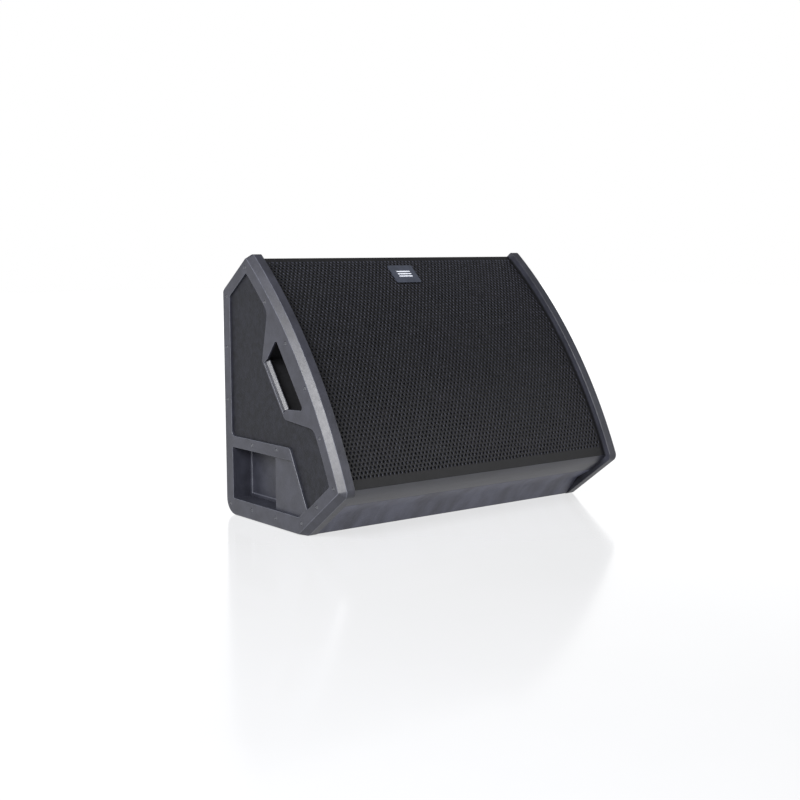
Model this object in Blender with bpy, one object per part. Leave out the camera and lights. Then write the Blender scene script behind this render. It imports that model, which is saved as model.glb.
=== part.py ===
"""Active stage monitor wedge with a 15-inch coaxial driver.

Metres, +Z up.  X runs across the cabinet, the grille faces -Y, and the origin
is on the floor under the middle of the cabinet.  Both ends are closed by a
moulded cap over a plywood side panel.  The right bay holds the connectors.
"""
import math

import bmesh
import bpy
from mathutils import Matrix, Vector

# ---------------------------------------------------------------- sizes ----
# Cabinet
WIDTH = 0.620
HEIGHT = 0.4556
DEPTH = 0.3604
NOSE_HEIGHT = 0.0822          # the lower front edge, above the floor
TOE_SETBACK = 0.1126          # where the floor starts, behind the nose
RIDGE_SETBACK = 0.0875        # the top edge, in front of the rear face
RIDGE_DROP = 0.0634           # from the top edge down to the rear face
FRONT_BOW = 0.0289            # how far the front bulges out of its chord
CLEARANCE = 0.0003            # between two pieces that touch

# Corner radii of the side outline
TOE_RADIUS = 0.012
FOOT_RADIUS = 0.028
SHOULDER_RADIUS = 0.008
APEX_RADIUS = 0.006
NOSE_RADIUS = 0.012

# End caps and side panels
CAP_PLATE = 0.004
CAP_WALL = 0.010
CAP_BEVEL = 0.0102            # along the front and the toe
CAP_EDGE = 0.002              # along the other edges
SIDE_PANEL = 0.022
REAR_RIM = 0.0235
RIDGE_RIM = 0.022
FRONT_RIM = 0.030
TOE_RIM = 0.030

# Hand slot, a trapezoid along the front
SLOT_HALF = 0.0680            # half its front edge
SLOT_TOP = 0.0570             # the ends of its rear edge, along the chord
SLOT_BOTTOM = -0.0395
SLOT_SETBACK = 0.0145         # behind the chord of the front
SLOT_WIDTH = 0.0425
SLOT_CORNER = 0.005
GRIP_WIDTH = 0.0110
GRIP_DEPTH = 0.0065
GRIP_CHAMFER = 0.0050
BOSS_TOP = 0.0640             # the moulded land round the slot
BOSS_BOTTOM = -0.0500
BOSS_BACK = 0.0720
BOSS_SPREAD = 0.87            # how much wider it gets toward the front
CUP_MARGIN = 0.006
CUP_SEAT = 0.0005             # behind the grip
CUP_WALL = 0.0025
CUP_DEPTH = 0.048

# Bay at the rear foot of each cap
BAY_BOTTOM = 0.030
BAY_TOP = 0.1205
BAY_RIM = 0.020
BAY_LENGTH = 0.186            # along the top of its land
BAY_LEAN = math.radians(62.5)
BAY_LIP = 0.0045
TRAY_WALL = 0.003
POCKET_LENGTH = 0.1305
POCKET_DEPTH = 0.037
RAMP_DEPTH = 0.008
RAMP_END = 0.0048
PLATE_THICKNESS = 0.003
PLATE_MARGIN = 0.0005

# Cabinet boards
BODY_INSET = 0.0025           # boards lie this much inside the caps
PANEL = 0.015
BAFFLE = 0.018
BAFFLE_SETBACK = 0.028
TRIM_SETBACK = 0.0075
TRIM_START = 0.026
TRIM_LENGTH = 0.056
TRIM_BLOCK = 0.022
BOARD_BEND = 0.095
BOARD_BEND_DEPTH = 0.012
CLEAT = 0.020
CLEAT_LENGTH = 0.110

# Grille
GRILLE_SETBACK = 0.012
GRILLE_SHEET = 0.0016
GRILLE_FOOT = 0.013
FOAM = 0.006
BADGE_WIDTH = 0.054
BADGE_HEIGHT = 0.044
BADGE_DROP = 0.047            # its middle, below the top end of the chord
BADGE_SHEET = 0.0016

# Driver, measured from the baffle's front along the driver's axis
FLANGE_RADIUS = 0.1935
CUTOUT_RADIUS = 0.1765
FLANGE = 0.008
GASKET = 0.0016
CONE_RADIUS = 0.1496
SURROUND_OUTER = 0.172
SURROUND_ROLL = 0.011
NECK_RADIUS = 0.0520
NECK_DEPTH = 0.075
CONE_SHEET = 0.002
COIL_RADIUS = 0.0506
COIL_WALL = 0.0016
COIL_END = 0.124
SPIDER_DEPTH = 0.087
SPIDER_RADIUS = 0.098
GAP = 0.0008                  # each side of the coil
TOP_PLATE_DEPTH = 0.1043
TOP_PLATE = 0.008
MAGNET = 0.018
MAGNET_RADIUS = 0.084
YOKE = 0.008
THROAT_RADIUS = 0.018
HORN_RADIUS = 0.042
HORN_DEPTH = 0.046
HORN_WALL = 0.003
HF_RADIUS = 0.045
HF_LENGTH = 0.034
HF_COVER = 0.006

# Ports
PORT_RADIUS = 0.032
PORT_WALL = 0.0035
PORT_FLANGE = 0.0065
PORT_LENGTH = 0.092
PORT_GAP = 0.0029              # from a port to the cleat beside it
PORT_ALONG = -0.155

# Amplifier
SINK_HALF = 0.130
SINK_BOTTOM = 0.030
SINK_TOP = 0.125
SINK_BASE = 0.006
FIN_HEIGHT = 0.0225
FIN_COUNT = 15
FIN_WIDTH = 0.0026
TRAY_HALF = 0.140
TRAY_LENGTH = 0.124
SHEET = 0.002
BOARD_SHEET = 0.0016
STANDOFF = 0.010
TOROID_RADIUS = 0.044
TOROID_HEIGHT = 0.038
CAPACITOR_RADIUS = 0.015
CAPACITOR_HEIGHT = 0.045
WADDING_THICKNESS = 0.016
WADDING_MARGIN = 0.006        # at each end
WADDING_DROP = 0.060          # below the rear face's top edge
WADDING_GAP = 0.005           # above the driver's rear end

# Connector plate
FLANGE_WIDTH = 0.026
FLANGE_HEIGHT = 0.031
FLANGE_SHEET = 0.0025
BARREL_RADIUS = 0.0120
BARREL_LENGTH = 0.022
SOCKET_RADIUS = 0.0090
SOCKET_DEPTH = 0.014
UPPER_ROW = 0.097
LOWER_ROW = 0.053
KNOB_RADIUS = 0.0090
KNOB_LENGTH = 0.0140
SHAFT_RADIUS = 0.0030
BUTTON_RADIUS = 0.0040
BUTTON_TRAVEL = 0.0015
ROCKER_WIDTH = 0.0110
ROCKER_HEIGHT = 0.0170
ROCKER_TILT = math.radians(10.0)
LATCH_WIDTH = 0.0080
LATCH_HEIGHT = 0.0042
LED_RADIUS = 0.0020

ARC_STEPS = 32
CORNER_STEPS = 6
ROUND = 36


# ---------------------------------------------------------- plane geometry ----
# The side outline lives in the YZ plane; its corners go round the inside on
# the left: toe, foot, shoulder, apex, nose.
TOE = Vector((-DEPTH / 2 + TOE_SETBACK, 0.0))
FOOT = Vector((DEPTH / 2, 0.0))
SHOULDER = Vector((DEPTH / 2, HEIGHT - RIDGE_DROP))
APEX = Vector((DEPTH / 2 - RIDGE_SETBACK, HEIGHT))
NOSE = Vector((-DEPTH / 2, NOSE_HEIGHT))


def centre_on_floor():
    """Move the corners so the rounded outline is centred on Y = 0."""
    points = side_outline()
    middle = (min(p.x for p in points) + max(p.x for p in points)) / 2
    for corner in (TOE, FOOT, SHOULDER, APEX, NOSE):
        corner.x -= middle


def inset_line(start, end, distance):
    """The line from start to end, moved inward, as a point and a direction."""
    direction = (end - start).normalized()
    return start + Vector((-direction.y, direction.x)) * distance, direction


def meet(first, second):
    """Where two lines cross."""
    (point, along), (other, across) = first, second
    gap = other - point
    turn = along.x * across.y - along.y * across.x
    return point + along * ((gap.x * across.y - gap.y * across.x) / turn)


def chord():
    """Middle, direction (up) and inward normal of the front's chord."""
    up = (APEX - NOSE).normalized()
    return (APEX + NOSE) / 2, up, Vector((up.y, -up.x))


def bow_circle():
    half = (APEX - NOSE).length / 2
    radius = (half * half + FRONT_BOW * FRONT_BOW) / (2 * FRONT_BOW)
    middle, _, inward = chord()
    return middle + inward * (radius - FRONT_BOW), radius


def meet_bow(line, inset):
    """Where a line crosses the bowed front moved inward, on the front's side."""
    centre, radius = bow_circle()
    point, direction = line
    along = (point - centre).dot(direction)
    off = (point - centre - direction * along).length
    reach = math.sqrt((radius - inset) ** 2 - off * off)
    inward = chord()[2]
    hits = [point + direction * (sign * reach - along) for sign in (-1, 1)]
    return min(hits, key=lambda hit: (hit - centre).dot(inward))


def bow_arc(start, end, inset, steps=ARC_STEPS):
    """Points along the bowed front moved inward, ends included."""
    centre, radius = bow_circle()
    first = math.atan2(*(start - centre).yx)
    last = math.atan2(*(end - centre).yx)
    if last - first > math.pi:
        last -= 2 * math.pi
    if first - last > math.pi:
        last += 2 * math.pi
    angles = [first + (last - first) * i / steps for i in range(steps + 1)]
    reach = radius - inset
    return [centre + Vector((math.cos(a), math.sin(a))) * reach for a in angles]


def at_front(along, inward):
    """A point by its distance up the chord from its middle, and behind it."""
    middle, up, normal = chord()
    return middle + up * along + normal * inward


def at_toe(along, inward):
    """A point by its distance down the toe from the nose, and behind it."""
    start, direction = inset_line(NOSE, TOE, inward)
    return start + direction * along


def front_line(inward):
    return at_front(0.0, inward), chord()[1]


def level(height):
    return Vector((0.0, height)), Vector((1.0, 0.0))


def upright(y):
    return Vector((y, 0.0)), Vector((0.0, 1.0))


def floor_line(inset):
    return inset_line(TOE, FOOT, inset)


def rear_line(inset):
    return inset_line(FOOT, SHOULDER, inset)


def ridge_line(inset):
    return inset_line(SHOULDER, APEX, inset)


def toe_line(inset):
    return inset_line(NOSE, TOE, inset)


def rounded(corners, steps=CORNER_STEPS):
    """Points of an outline given as (corner, radius) pairs."""
    points = []
    for index, (corner, radius) in enumerate(corners):
        if radius <= 0.0:
            points.append(corner)
            continue
        before = (corners[index - 1][0] - corner).normalized()
        after = (corners[(index + 1) % len(corners)][0] - corner).normalized()
        half = before.angle(after) / 2
        reach = radius / math.tan(half)
        centre = corner + (before + after).normalized() * (radius / math.sin(half))
        start = corner + before * reach - centre
        turn = start.angle_signed(corner + after * reach - centre)
        for step in range(steps + 1):
            spin = Matrix.Rotation(-turn * step / steps, 2)
            points.append(centre + spin @ start)
    return points


def side_outline(floor=0.0, rear=0.0, ridge=0.0, front=0.0, toe=0.0):
    """The rounded side outline with each edge moved inward by its own inset."""
    top = meet_bow(ridge_line(ridge), front)
    low = meet_bow(toe_line(toe), front)
    arc = bow_arc(top, low, front)
    least = 0.001
    corners = [(meet(toe_line(toe), floor_line(floor)), max(TOE_RADIUS - toe, least)),
               (meet(floor_line(floor), rear_line(rear)), max(FOOT_RADIUS - rear, least)),
               (meet(rear_line(rear), ridge_line(ridge)), max(SHOULDER_RADIUS - rear, least)),
               (top, max(APEX_RADIUS - ridge, least))]
    corners += [(point, 0.0) for point in arc[1:-1]]
    corners.append((low, max(NOSE_RADIUS - toe, least)))
    return rounded(corners)


def even_outline(inset):
    return side_outline(inset, inset, inset, inset, inset)


# ------------------------------------------------------------ solid tools ----
def clear_scene():
    for item in list(bpy.data.objects):
        bpy.data.objects.remove(item, do_unlink=True)


def finish(name, colour, roughness, metallic=0.0):
    """A plain material for one named object."""
    material = bpy.data.materials.new(name)
    material.use_nodes = True
    shader = material.node_tree.nodes["Principled BSDF"]
    shader.inputs["Base Color"].default_value = (*colour, 1.0)
    shader.inputs["Roughness"].default_value = roughness
    shader.inputs["Metallic"].default_value = metallic
    return material


ABS = ((0.10, 0.10, 0.12), 0.5, 0.0)
PAINT = ((0.06, 0.06, 0.07), 0.8, 0.0)
BLACK_STEEL = ((0.02, 0.02, 0.025), 0.35, 0.0)
RUBBER = ((0.03, 0.03, 0.03), 0.9, 0.0)
BARE_STEEL = ((0.45, 0.45, 0.47), 0.35, 1.0)
CAST = ((0.08, 0.08, 0.09), 0.5, 1.0)
ALUMINIUM = ((0.30, 0.31, 0.33), 0.4, 1.0)
PAPER = ((0.03, 0.03, 0.03), 0.9, 0.0)
FERRITE = ((0.05, 0.05, 0.055), 0.7, 0.0)
CIRCUIT = ((0.03, 0.12, 0.06), 0.5, 0.0)
COPPER = ((0.70, 0.33, 0.18), 0.4, 1.0)
WADDING = ((0.75, 0.75, 0.72), 0.95, 0.0)
CLEAR_GREEN = ((0.05, 0.60, 0.15), 0.2, 0.0)
CLEAR_RED = ((0.70, 0.05, 0.04), 0.2, 0.0)


def make_object(name, mesh_data, look=None, smooth=False):
    """Turn a bmesh into an object with outward faces and its own material."""
    bmesh.ops.recalc_face_normals(mesh_data, faces=mesh_data.faces[:])
    if mesh_data.calc_volume(signed=True) < 0.0:
        bmesh.ops.reverse_faces(mesh_data, faces=mesh_data.faces[:])
    mesh = bpy.data.meshes.new(name)
    mesh_data.to_mesh(mesh)
    mesh_data.free()
    if smooth:
        mesh.shade_smooth()
        mesh.set_sharp_from_angle(angle=math.radians(35.0))
    piece = bpy.data.objects.new(name, mesh)
    bpy.context.collection.objects.link(piece)
    if look:
        mesh.materials.append(finish(name, *look))
    return piece


def loft(name, rings, look=None, smooth=False):
    """A closed solid through rings of 3-D points with equal point counts."""
    mesh_data = bmesh.new()
    rows = [[mesh_data.verts.new(point) for point in ring] for ring in rings]
    count = len(rows[0])
    for lower, upper in zip(rows, rows[1:]):
        for i in range(count):
            j = (i + 1) % count
            mesh_data.faces.new((lower[i], lower[j], upper[j], upper[i]))
    mesh_data.faces.new(rows[0])
    mesh_data.faces.new(rows[-1])
    return make_object(name, mesh_data, look, smooth)


def board(name, outline, half, look=None, centre=0.0):
    """A YZ outline extruded along X, half on each side of the centre."""
    return loft(name, [[(centre + side * half, p.x, p.y) for p in outline]
                       for side in (-1, 1)], look)


def box(name, low, high, look=None):
    """A box between two corners."""
    (x0, y0, z0), (x1, y1, z1) = low, high
    outline = [Vector((y0, z0)), Vector((y1, z0)), Vector((y1, z1)), Vector((y0, z1))]
    return board(name, outline, abs(x1 - x0) / 2, look, (x0 + x1) / 2)


def sunk(side, depth, point):
    """A YZ point at a depth below the outer face of the cap on one side."""
    return Vector((side * (WIDTH / 2 - depth), point.x, point.y))


def side_prism(name, outline, outer, inner, side, look=None):
    """A YZ outline between two depths; the inner one may vary with the point."""
    depths = inner if callable(inner) else lambda point: inner
    return loft(name, [[sunk(side, outer, p) for p in outline],
                       [sunk(side, depths(p), p) for p in outline]], look)


def turned(name, profile, place, look=None, segments=ROUND):
    """A (radius, height) outline turned about local Z and put in place."""
    mesh_data = bmesh.new()
    rows = []
    for radius, height in profile:
        if radius == 0.0:
            rows.append([mesh_data.verts.new(place @ Vector((0.0, 0.0, height)))])
            continue
        angles = [2 * math.pi * i / segments for i in range(segments)]
        rows.append([mesh_data.verts.new(place @ Vector((
            radius * math.cos(a), radius * math.sin(a), height))) for a in angles])
    pairs = list(zip(rows, rows[1:] + rows[:1]))
    for lower, upper in pairs:
        if len(lower) == 1 and len(upper) == 1:
            continue
        for i in range(segments):
            j = (i + 1) % segments
            ring = [lower[i % len(lower)], lower[j % len(lower)],
                    upper[j % len(upper)], upper[i % len(upper)]]
            mesh_data.faces.new(list(dict.fromkeys(ring)))
    return make_object(name, mesh_data, look, smooth=True)


def combine(piece, tool, operation):
    """Boolean a hidden tool into a piece."""
    tool.name = piece.name + "_tool"
    tool.hide_render = True
    tool.display_type = 'WIRE'
    modifier = piece.modifiers.new(tool.name, 'BOOLEAN')
    modifier.operation = operation
    modifier.solver = 'EXACT'
    modifier.object = tool


def cut(piece, tool):
    combine(piece, tool, 'DIFFERENCE')


def join(piece, tool):
    combine(piece, tool, 'UNION')


def keep_inside(piece, tool):
    combine(piece, tool, 'INTERSECT')


def label(side):
    return "left" if side < 0 else "right"


# ----------------------------------------------------------- side outlines ----
def slot_outline():
    """The hand slot and the land that the grip is set in."""
    back = SLOT_SETBACK + SLOT_WIDTH
    grip = back + GRIP_WIDTH + CLEARANCE
    top, bottom = SLOT_TOP + CLEARANCE, SLOT_BOTTOM - CLEARANCE
    return rounded([(at_front(SLOT_HALF, SLOT_SETBACK), SLOT_CORNER),
                    (at_front(-SLOT_HALF, SLOT_SETBACK), SLOT_CORNER),
                    (at_front(bottom, back), 0.0),
                    (at_front(bottom, grip), 0.0),
                    (at_front(top, grip), 0.0),
                    (at_front(top, back), 0.0)])


def cup_outline(grow):
    """The pocket behind the hand slot."""
    margin = CUP_MARGIN / 2 + grow
    front = SLOT_SETBACK - CUP_MARGIN - grow
    back = SLOT_SETBACK + SLOT_WIDTH + GRIP_WIDTH + CUP_SEAT + grow
    radius = CUP_MARGIN + grow
    return rounded([(at_front(SLOT_HALF + margin, front), radius),
                    (at_front(-SLOT_HALF - margin, front), radius),
                    (at_front(SLOT_BOTTOM - margin, back), radius),
                    (at_front(SLOT_TOP + margin, back), radius)])


def bay_rear():
    return rear_line(REAR_RIM)[0].x


def bay_diagonal(shift):
    """The leaning front edge of the bay's land, moved rearward by a shift."""
    corner = Vector((bay_rear() - BAY_LENGTH, BAY_TOP + BAY_RIM))
    along = Vector((math.cos(BAY_LEAN), math.sin(BAY_LEAN)))
    return corner + Vector((along.y, -along.x)) * shift, along


def bay_outline(grow):
    """The bay's opening, grown outward."""
    rear = upright(bay_rear() - 0.0015 + grow)
    top = level(BAY_TOP + grow)
    bottom = level(BAY_BOTTOM - grow)
    diagonal = bay_diagonal(BAY_LIP - grow)
    toe = toe_line(TOE_RIM + BAY_LIP / 2 - grow)
    return rounded([(meet(bottom, rear), 0.002),
                    (meet(rear, top), 0.002),
                    (meet(top, diagonal), 0.002),
                    (meet(diagonal, toe), 0.004),
                    (meet(toe, bottom), 0.002)])


def boss_edge(along, spread):
    """One sloping end of the land round the hand slot."""
    back = at_front(along, BOSS_BACK)
    return back, (at_front(along + spread * BOSS_BACK, 0.0) - back).normalized()


def window_outline():
    """The opening in the cap that shows the side panel."""
    rim_top = level(BAY_TOP + BAY_RIM)
    rear = rear_line(REAR_RIM)
    ridge = ridge_line(RIDGE_RIM)
    toe = toe_line(TOE_RIM)
    diagonal = bay_diagonal(0.0)
    top = meet_bow(ridge, FRONT_RIM)
    upper = meet_bow(boss_edge(BOSS_TOP, BOSS_SPREAD), FRONT_RIM)
    lower = meet_bow(boss_edge(BOSS_BOTTOM, -BOSS_SPREAD), FRONT_RIM)
    nose = meet_bow(toe, FRONT_RIM)
    corners = [(meet(rim_top, rear), 0.008),
               (meet(rear, ridge), 0.006),
               (top, 0.003)]
    corners += [(p, 0.0) for p in bow_arc(top, upper, FRONT_RIM, 4)[1:-1]]
    corners += [(upper, 0.020),
                (at_front(BOSS_TOP, BOSS_BACK), 0.006),
                (at_front(BOSS_BOTTOM, BOSS_BACK), 0.012),
                (lower, 0.020)]
    corners += [(p, 0.0) for p in bow_arc(lower, nose, FRONT_RIM, 4)[1:-1]]
    corners += [(nose, 0.003),
                (meet(toe, diagonal), 0.004),
                (meet(diagonal, rim_top), 0.008)]
    return rounded(corners)


# --------------------------------------------------------------- end caps ----
def cap_depth():
    return CAP_PLATE + CLEARANCE + SIDE_PANEL


def end_cap(side):
    """The moulded cap: a plate with a rim that wraps the cabinet's end."""
    name = "end_cap_" + label(side)
    full = side_outline()
    face = side_outline(CAP_EDGE, CAP_EDGE, CAP_EDGE, CAP_BEVEL, CAP_BEVEL)
    falls = [min((a - b).length, CAP_BEVEL) for a, b in zip(full, face)]
    cap = loft(name, [[sunk(side, 0.0, p) for p in face],
                      [sunk(side, fall, p) for fall, p in zip(falls, full)],
                      [sunk(side, cap_depth(), p) for p in full]], ABS)
    beyond = cap_depth() + 0.01
    cut(cap, side_prism("hollow", even_outline(CAP_WALL), CAP_PLATE, beyond, side))
    cut(cap, side_prism("window", window_outline(), -0.01, beyond, side))
    cut(cap, side_prism("slot", slot_outline(), -0.01, beyond, side))
    cut(cap, side_prism("bay", bay_outline(0.0), -0.01, beyond, side))
    return cap


def side_panel(side):
    """The plywood side, with holes for the hand cup and the bay tray."""
    outer = CAP_PLATE + CLEARANCE
    panel = side_prism("side_panel_" + label(side), even_outline(CAP_WALL + CLEARANCE),
                       outer, outer + SIDE_PANEL, side, PAINT)
    cup = cup_outline(CUP_WALL + CLEARANCE)
    tray = bay_outline(TRAY_WALL + CLEARANCE)
    cut(panel, side_prism("cup_hole", cup, 0.0, cap_depth() + 0.01, side))
    cut(panel, side_prism("tray_hole", tray, 0.0, cap_depth() + 0.01, side))
    return panel


def hand_cup(side):
    """The closed pocket behind the hand slot."""
    outer = CAP_PLATE + CLEARANCE
    cup = side_prism("hand_cup_" + label(side), cup_outline(CUP_WALL),
                     outer, CUP_DEPTH, side, ABS)
    cut(cup, side_prism("hollow", cup_outline(0.0), 0.0, CUP_DEPTH - CUP_WALL, side))
    return cup


def hand_grip(side):
    """The soft lip set along the rear edge of the hand slot."""
    edge = SLOT_SETBACK + SLOT_WIDTH + CLEARANCE
    back = edge + GRIP_WIDTH - CLEARANCE
    section = [(CLEARANCE, back), (GRIP_DEPTH, back), (GRIP_DEPTH, edge),
               (CLEARANCE + GRIP_CHAMFER, edge), (CLEARANCE, edge + GRIP_CHAMFER)]
    rings = [[sunk(side, depth, at_front(along, inward)) for depth, inward in section]
             for along in (SLOT_BOTTOM, SLOT_TOP)]
    return loft("hand_grip_" + label(side), rings, RUBBER)


def pocket_front():
    return bay_rear() - 0.0015 - POCKET_LENGTH


def bay_tray(side):
    """The moulded tray in the bay: a shallow ramp and a deep rear pocket."""
    outer = CAP_PLATE + CLEARANCE
    bottom = POCKET_DEPTH + TRAY_WALL
    tray = side_prism("bay_tray_" + label(side), bay_outline(TRAY_WALL),
                      outer, bottom, side, ABS)
    step = pocket_front()
    tip = min(point.x for point in bay_outline(0.0))
    behind = [Vector((tip - 0.05, 0.0)), Vector((step - TRAY_WALL, 0.0)),
              Vector((step - TRAY_WALL, BAY_TOP + 0.05)), Vector((tip - 0.05, BAY_TOP + 0.05))]
    cut(tray, side_prism("behind_ramp", behind, RAMP_DEPTH + TRAY_WALL, 0.09, side))

    def ramp(point):
        share = min(max((step - point.x) / (step - tip), 0.0), 1.0)
        return RAMP_DEPTH + (RAMP_END - RAMP_DEPTH) * share

    cut(tray, side_prism("ramp", bay_outline(0.0), 0.0, ramp, side))
    rear = bay_rear() - 0.0015
    pocket = [Vector((step, BAY_BOTTOM)), Vector((rear, BAY_BOTTOM)),
              Vector((rear, BAY_TOP)), Vector((step, BAY_TOP))]
    cut(tray, side_prism("pocket", pocket, 0.0, POCKET_DEPTH, side))
    return tray


def plate_box():
    """The YZ corners of the plate on the floor of the pocket."""
    rear = bay_rear() - 0.0015
    low = Vector((pocket_front() + PLATE_MARGIN, BAY_BOTTOM + PLATE_MARGIN))
    high = Vector((rear - PLATE_MARGIN, BAY_TOP - PLATE_MARGIN))
    return low, high


def rectangle(low, high):
    return [low, Vector((high.x, low.y)), high, Vector((low.x, high.y))]


def blanking_plate():
    """The plain plate in the left pocket, with a raised border."""
    low, high = plate_box()
    inner = POCKET_DEPTH - CLEARANCE
    plate = side_prism("blanking_plate", rectangle(low, high),
                       inner - PLATE_THICKNESS, inner, -1, ABS)
    border = Vector((0.006, 0.006))
    cut(plate, side_prism("field", rectangle(low + border, high - border),
                          0.0, inner - PLATE_THICKNESS / 2, -1))
    return plate


# --------------------------------------------------------- cabinet boards ----
def board_half():
    return WIDTH / 2 - cap_depth() - CLEARANCE


def face_half():
    return board_half() - CLEARANCE


def front_board_outline():
    """The lower front board, bent back under the trim and out to the floor."""
    behind = front_line(BAFFLE_SETBACK + BAFFLE + CLEARANCE)
    start = TRIM_LENGTH + CLEARANCE
    block = TRIM_BLOCK + CLEARANCE
    foot = meet(toe_line(0.001), level(0.001))
    bend = at_toe(BOARD_BEND, BOARD_BEND_DEPTH)
    outer = bend, (foot - bend).normalized()
    inner = bend + Vector((-outer[1].y, outer[1].x)) * PANEL, outer[1]
    inner_bend = meet(inner, toe_line(block + PANEL))
    return [at_toe(start, TRIM_SETBACK), bend, foot, meet(inner, level(0.001)),
            inner_bend, meet(behind, toe_line(block + PANEL)),
            meet(behind, toe_line(block)), at_toe(start, block)]


def cabinet_boards():
    half = board_half()
    board("front_board", front_board_outline(), half, PAINT)

    floor_top = BODY_INSET + PANEL
    rear_inner = rear_line(BODY_INSET + PANEL)
    start = front_board_outline()[3].x + CLEARANCE
    lean = front_board_outline()[4] - front_board_outline()[3]
    heel = max(start, start + lean.x / lean.y * floor_top) + CLEARANCE
    bottom = board("bottom_panel", [Vector((heel, BODY_INSET)),
                                    Vector((rear_inner[0].x - CLEARANCE, BODY_INSET)),
                                    Vector((rear_inner[0].x - CLEARANCE, floor_top)),
                                    Vector((heel, floor_top))], half, PAINT)
    keep_inside(bottom, board("hull", even_outline(BODY_INSET), half + 0.01))

    under = ridge_line(BODY_INSET + PANEL + CLEARANCE)
    rear_outer = rear_line(BODY_INSET)
    rear = board("rear_panel", [Vector((rear_inner[0].x, BODY_INSET)),
                                Vector((rear_outer[0].x, BODY_INSET)),
                                meet(rear_outer, under), meet(rear_inner, under)], half, PAINT)
    keep_inside(rear, board("hull", even_outline(BODY_INSET), half + 0.01))
    opening = 0.001
    cut(rear, box("sink_opening", (-SINK_HALF - opening, -1.0, SINK_BOTTOM - opening),
                  (SINK_HALF + opening, 1.0, SINK_TOP + opening)))

    behind = GRILLE_SETBACK + GRILLE_SHEET + CLEARANCE
    over = ridge_line(BODY_INSET)
    inner = ridge_line(BODY_INSET + PANEL)
    board("top_panel", [meet(rear_outer, over), meet_bow(over, behind),
                        meet_bow(inner, behind), meet(rear_outer, inner)], half, PAINT)

    corner_y = rear_inner[0].x - CLEARANCE
    top = meet(upright(corner_y - CLEAT), under).y - CLEARANCE
    low = min(top, meet(upright(corner_y), under).y) - CLEARANCE
    box("top_cleat", (-half, corner_y - CLEAT, low - CLEAT), (half, corner_y, low), PAINT)


def baffle_board():
    """The baffle, with holes for the driver and ports and notches for the cups."""
    front, rear = front_line(BAFFLE_SETBACK), front_line(BAFFLE_SETBACK + BAFFLE)
    bottom = toe_line(TRIM_BLOCK + CLEARANCE)
    top = ridge_line(BODY_INSET + PANEL + CLEARANCE)
    baffle = board("baffle", [meet(front, bottom), meet(front, top), meet(rear, top),
                              meet(rear, bottom)], board_half(), PAINT)
    reach = 0.05
    cut(baffle, turned("driver_hole", [(0.0, reach), (CUTOUT_RADIUS, reach),
                                       (CUTOUT_RADIUS, -reach), (0.0, -reach)], driver_place()))
    hole = PORT_RADIUS + PORT_WALL + CLEARANCE
    for side in (-1, 1):
        cut(baffle, turned("port_hole", [(0.0, reach), (hole, reach), (hole, -reach),
                                         (0.0, -reach)], port_place(side)))
        notch = cup_outline(CUP_WALL + CLEARANCE)
        cut(baffle, side_prism("cup_notch", notch, 0.0, CUP_DEPTH + CLEARANCE, side))
    over_board = toe_line(TRIM_BLOCK + PANEL + 3 * CLEARANCE)
    near, far = front_line(BAFFLE_SETBACK + BAFFLE + CLEARANCE), CLEAT * chord()[2]
    low = meet(near, over_board)
    high = low + chord()[1] * CLEAT_LENGTH
    outline = [low, high, high + far, meet((low + far, chord()[1]), over_board)]
    for side in (-1, 1):
        centre = side * (board_half() - CLEAT / 2)
        board("baffle_cleat_" + label(side), outline, CLEAT / 2, PAINT, centre)


def nose_trim():
    """The moulded strip under the grille, with the rebate that the grille sits in."""
    behind = GRILLE_SETBACK + GRILLE_SHEET + CLEARANCE
    shelf = GRILLE_FOOT - CLEARANCE
    outline = [meet_bow(toe_line(shelf), GRILLE_SETBACK), at_toe(TRIM_START, TRIM_SETBACK),
               at_toe(TRIM_LENGTH, TRIM_SETBACK), at_toe(TRIM_LENGTH, TRIM_BLOCK),
               meet_bow(toe_line(TRIM_BLOCK), behind), meet_bow(toe_line(shelf), behind)]
    board("nose_trim", outline, board_half(), ABS)


def bowed_sheet(name, inset, thickness, ridge, toe, look):
    """A sheet that follows the bowed front between the ridge and the toe."""
    outer = bow_arc(meet_bow(ridge_line(ridge), inset), meet_bow(toe_line(toe), inset), inset)
    deep = inset + thickness
    inner = bow_arc(meet_bow(toe_line(toe), deep), meet_bow(ridge_line(ridge), deep), deep)
    return board(name, outer + inner, face_half(), look)


def grille_set():
    bowed_sheet("grille", GRILLE_SETBACK, GRILLE_SHEET, BODY_INSET, GRILLE_FOOT, BLACK_STEEL)
    bowed_sheet("grille_foam", GRILLE_SETBACK + GRILLE_SHEET + CLEARANCE, FOAM,
                BODY_INSET + PANEL + CLEARANCE, TRIM_BLOCK + CLEARANCE, RUBBER)
    half_chord = (APEX - NOSE).length / 2
    middle = half_chord - BADGE_DROP
    ends = [meet_bow((at_front(middle + sign * BADGE_HEIGHT / 2, 0.0), chord()[2]),
                     GRILLE_SETBACK - CLEARANCE) for sign in (1, -1)]
    lift = GRILLE_SETBACK - CLEARANCE
    under = bow_arc(ends[0], ends[1], lift, 3)
    over = bow_arc(ends[1], ends[0], lift - BADGE_SHEET, 3)
    board("badge", under + over, BADGE_WIDTH / 2, BLACK_STEEL)


# ----------------------------------------------------------------- driver ----
def axis_place(point, x):
    """Local +Z along the front's inward normal, from a YZ point at this X."""
    inward = chord()[2]
    turn = math.atan2(-inward.x, inward.y)
    return Matrix.Translation((x, point.x, point.y)) @ Matrix.Rotation(turn, 4, 'X')


def driver_length():
    """From the baffle's front to the rear end of the driver's cover."""
    yoke_end = TOP_PLATE_DEPTH + TOP_PLATE + MAGNET + YOKE
    return yoke_end + HF_LENGTH + HF_COVER + 4 * CLEARANCE


def driver_place():
    return axis_place(at_front(0.0, BAFFLE_SETBACK), 0.0)


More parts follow.
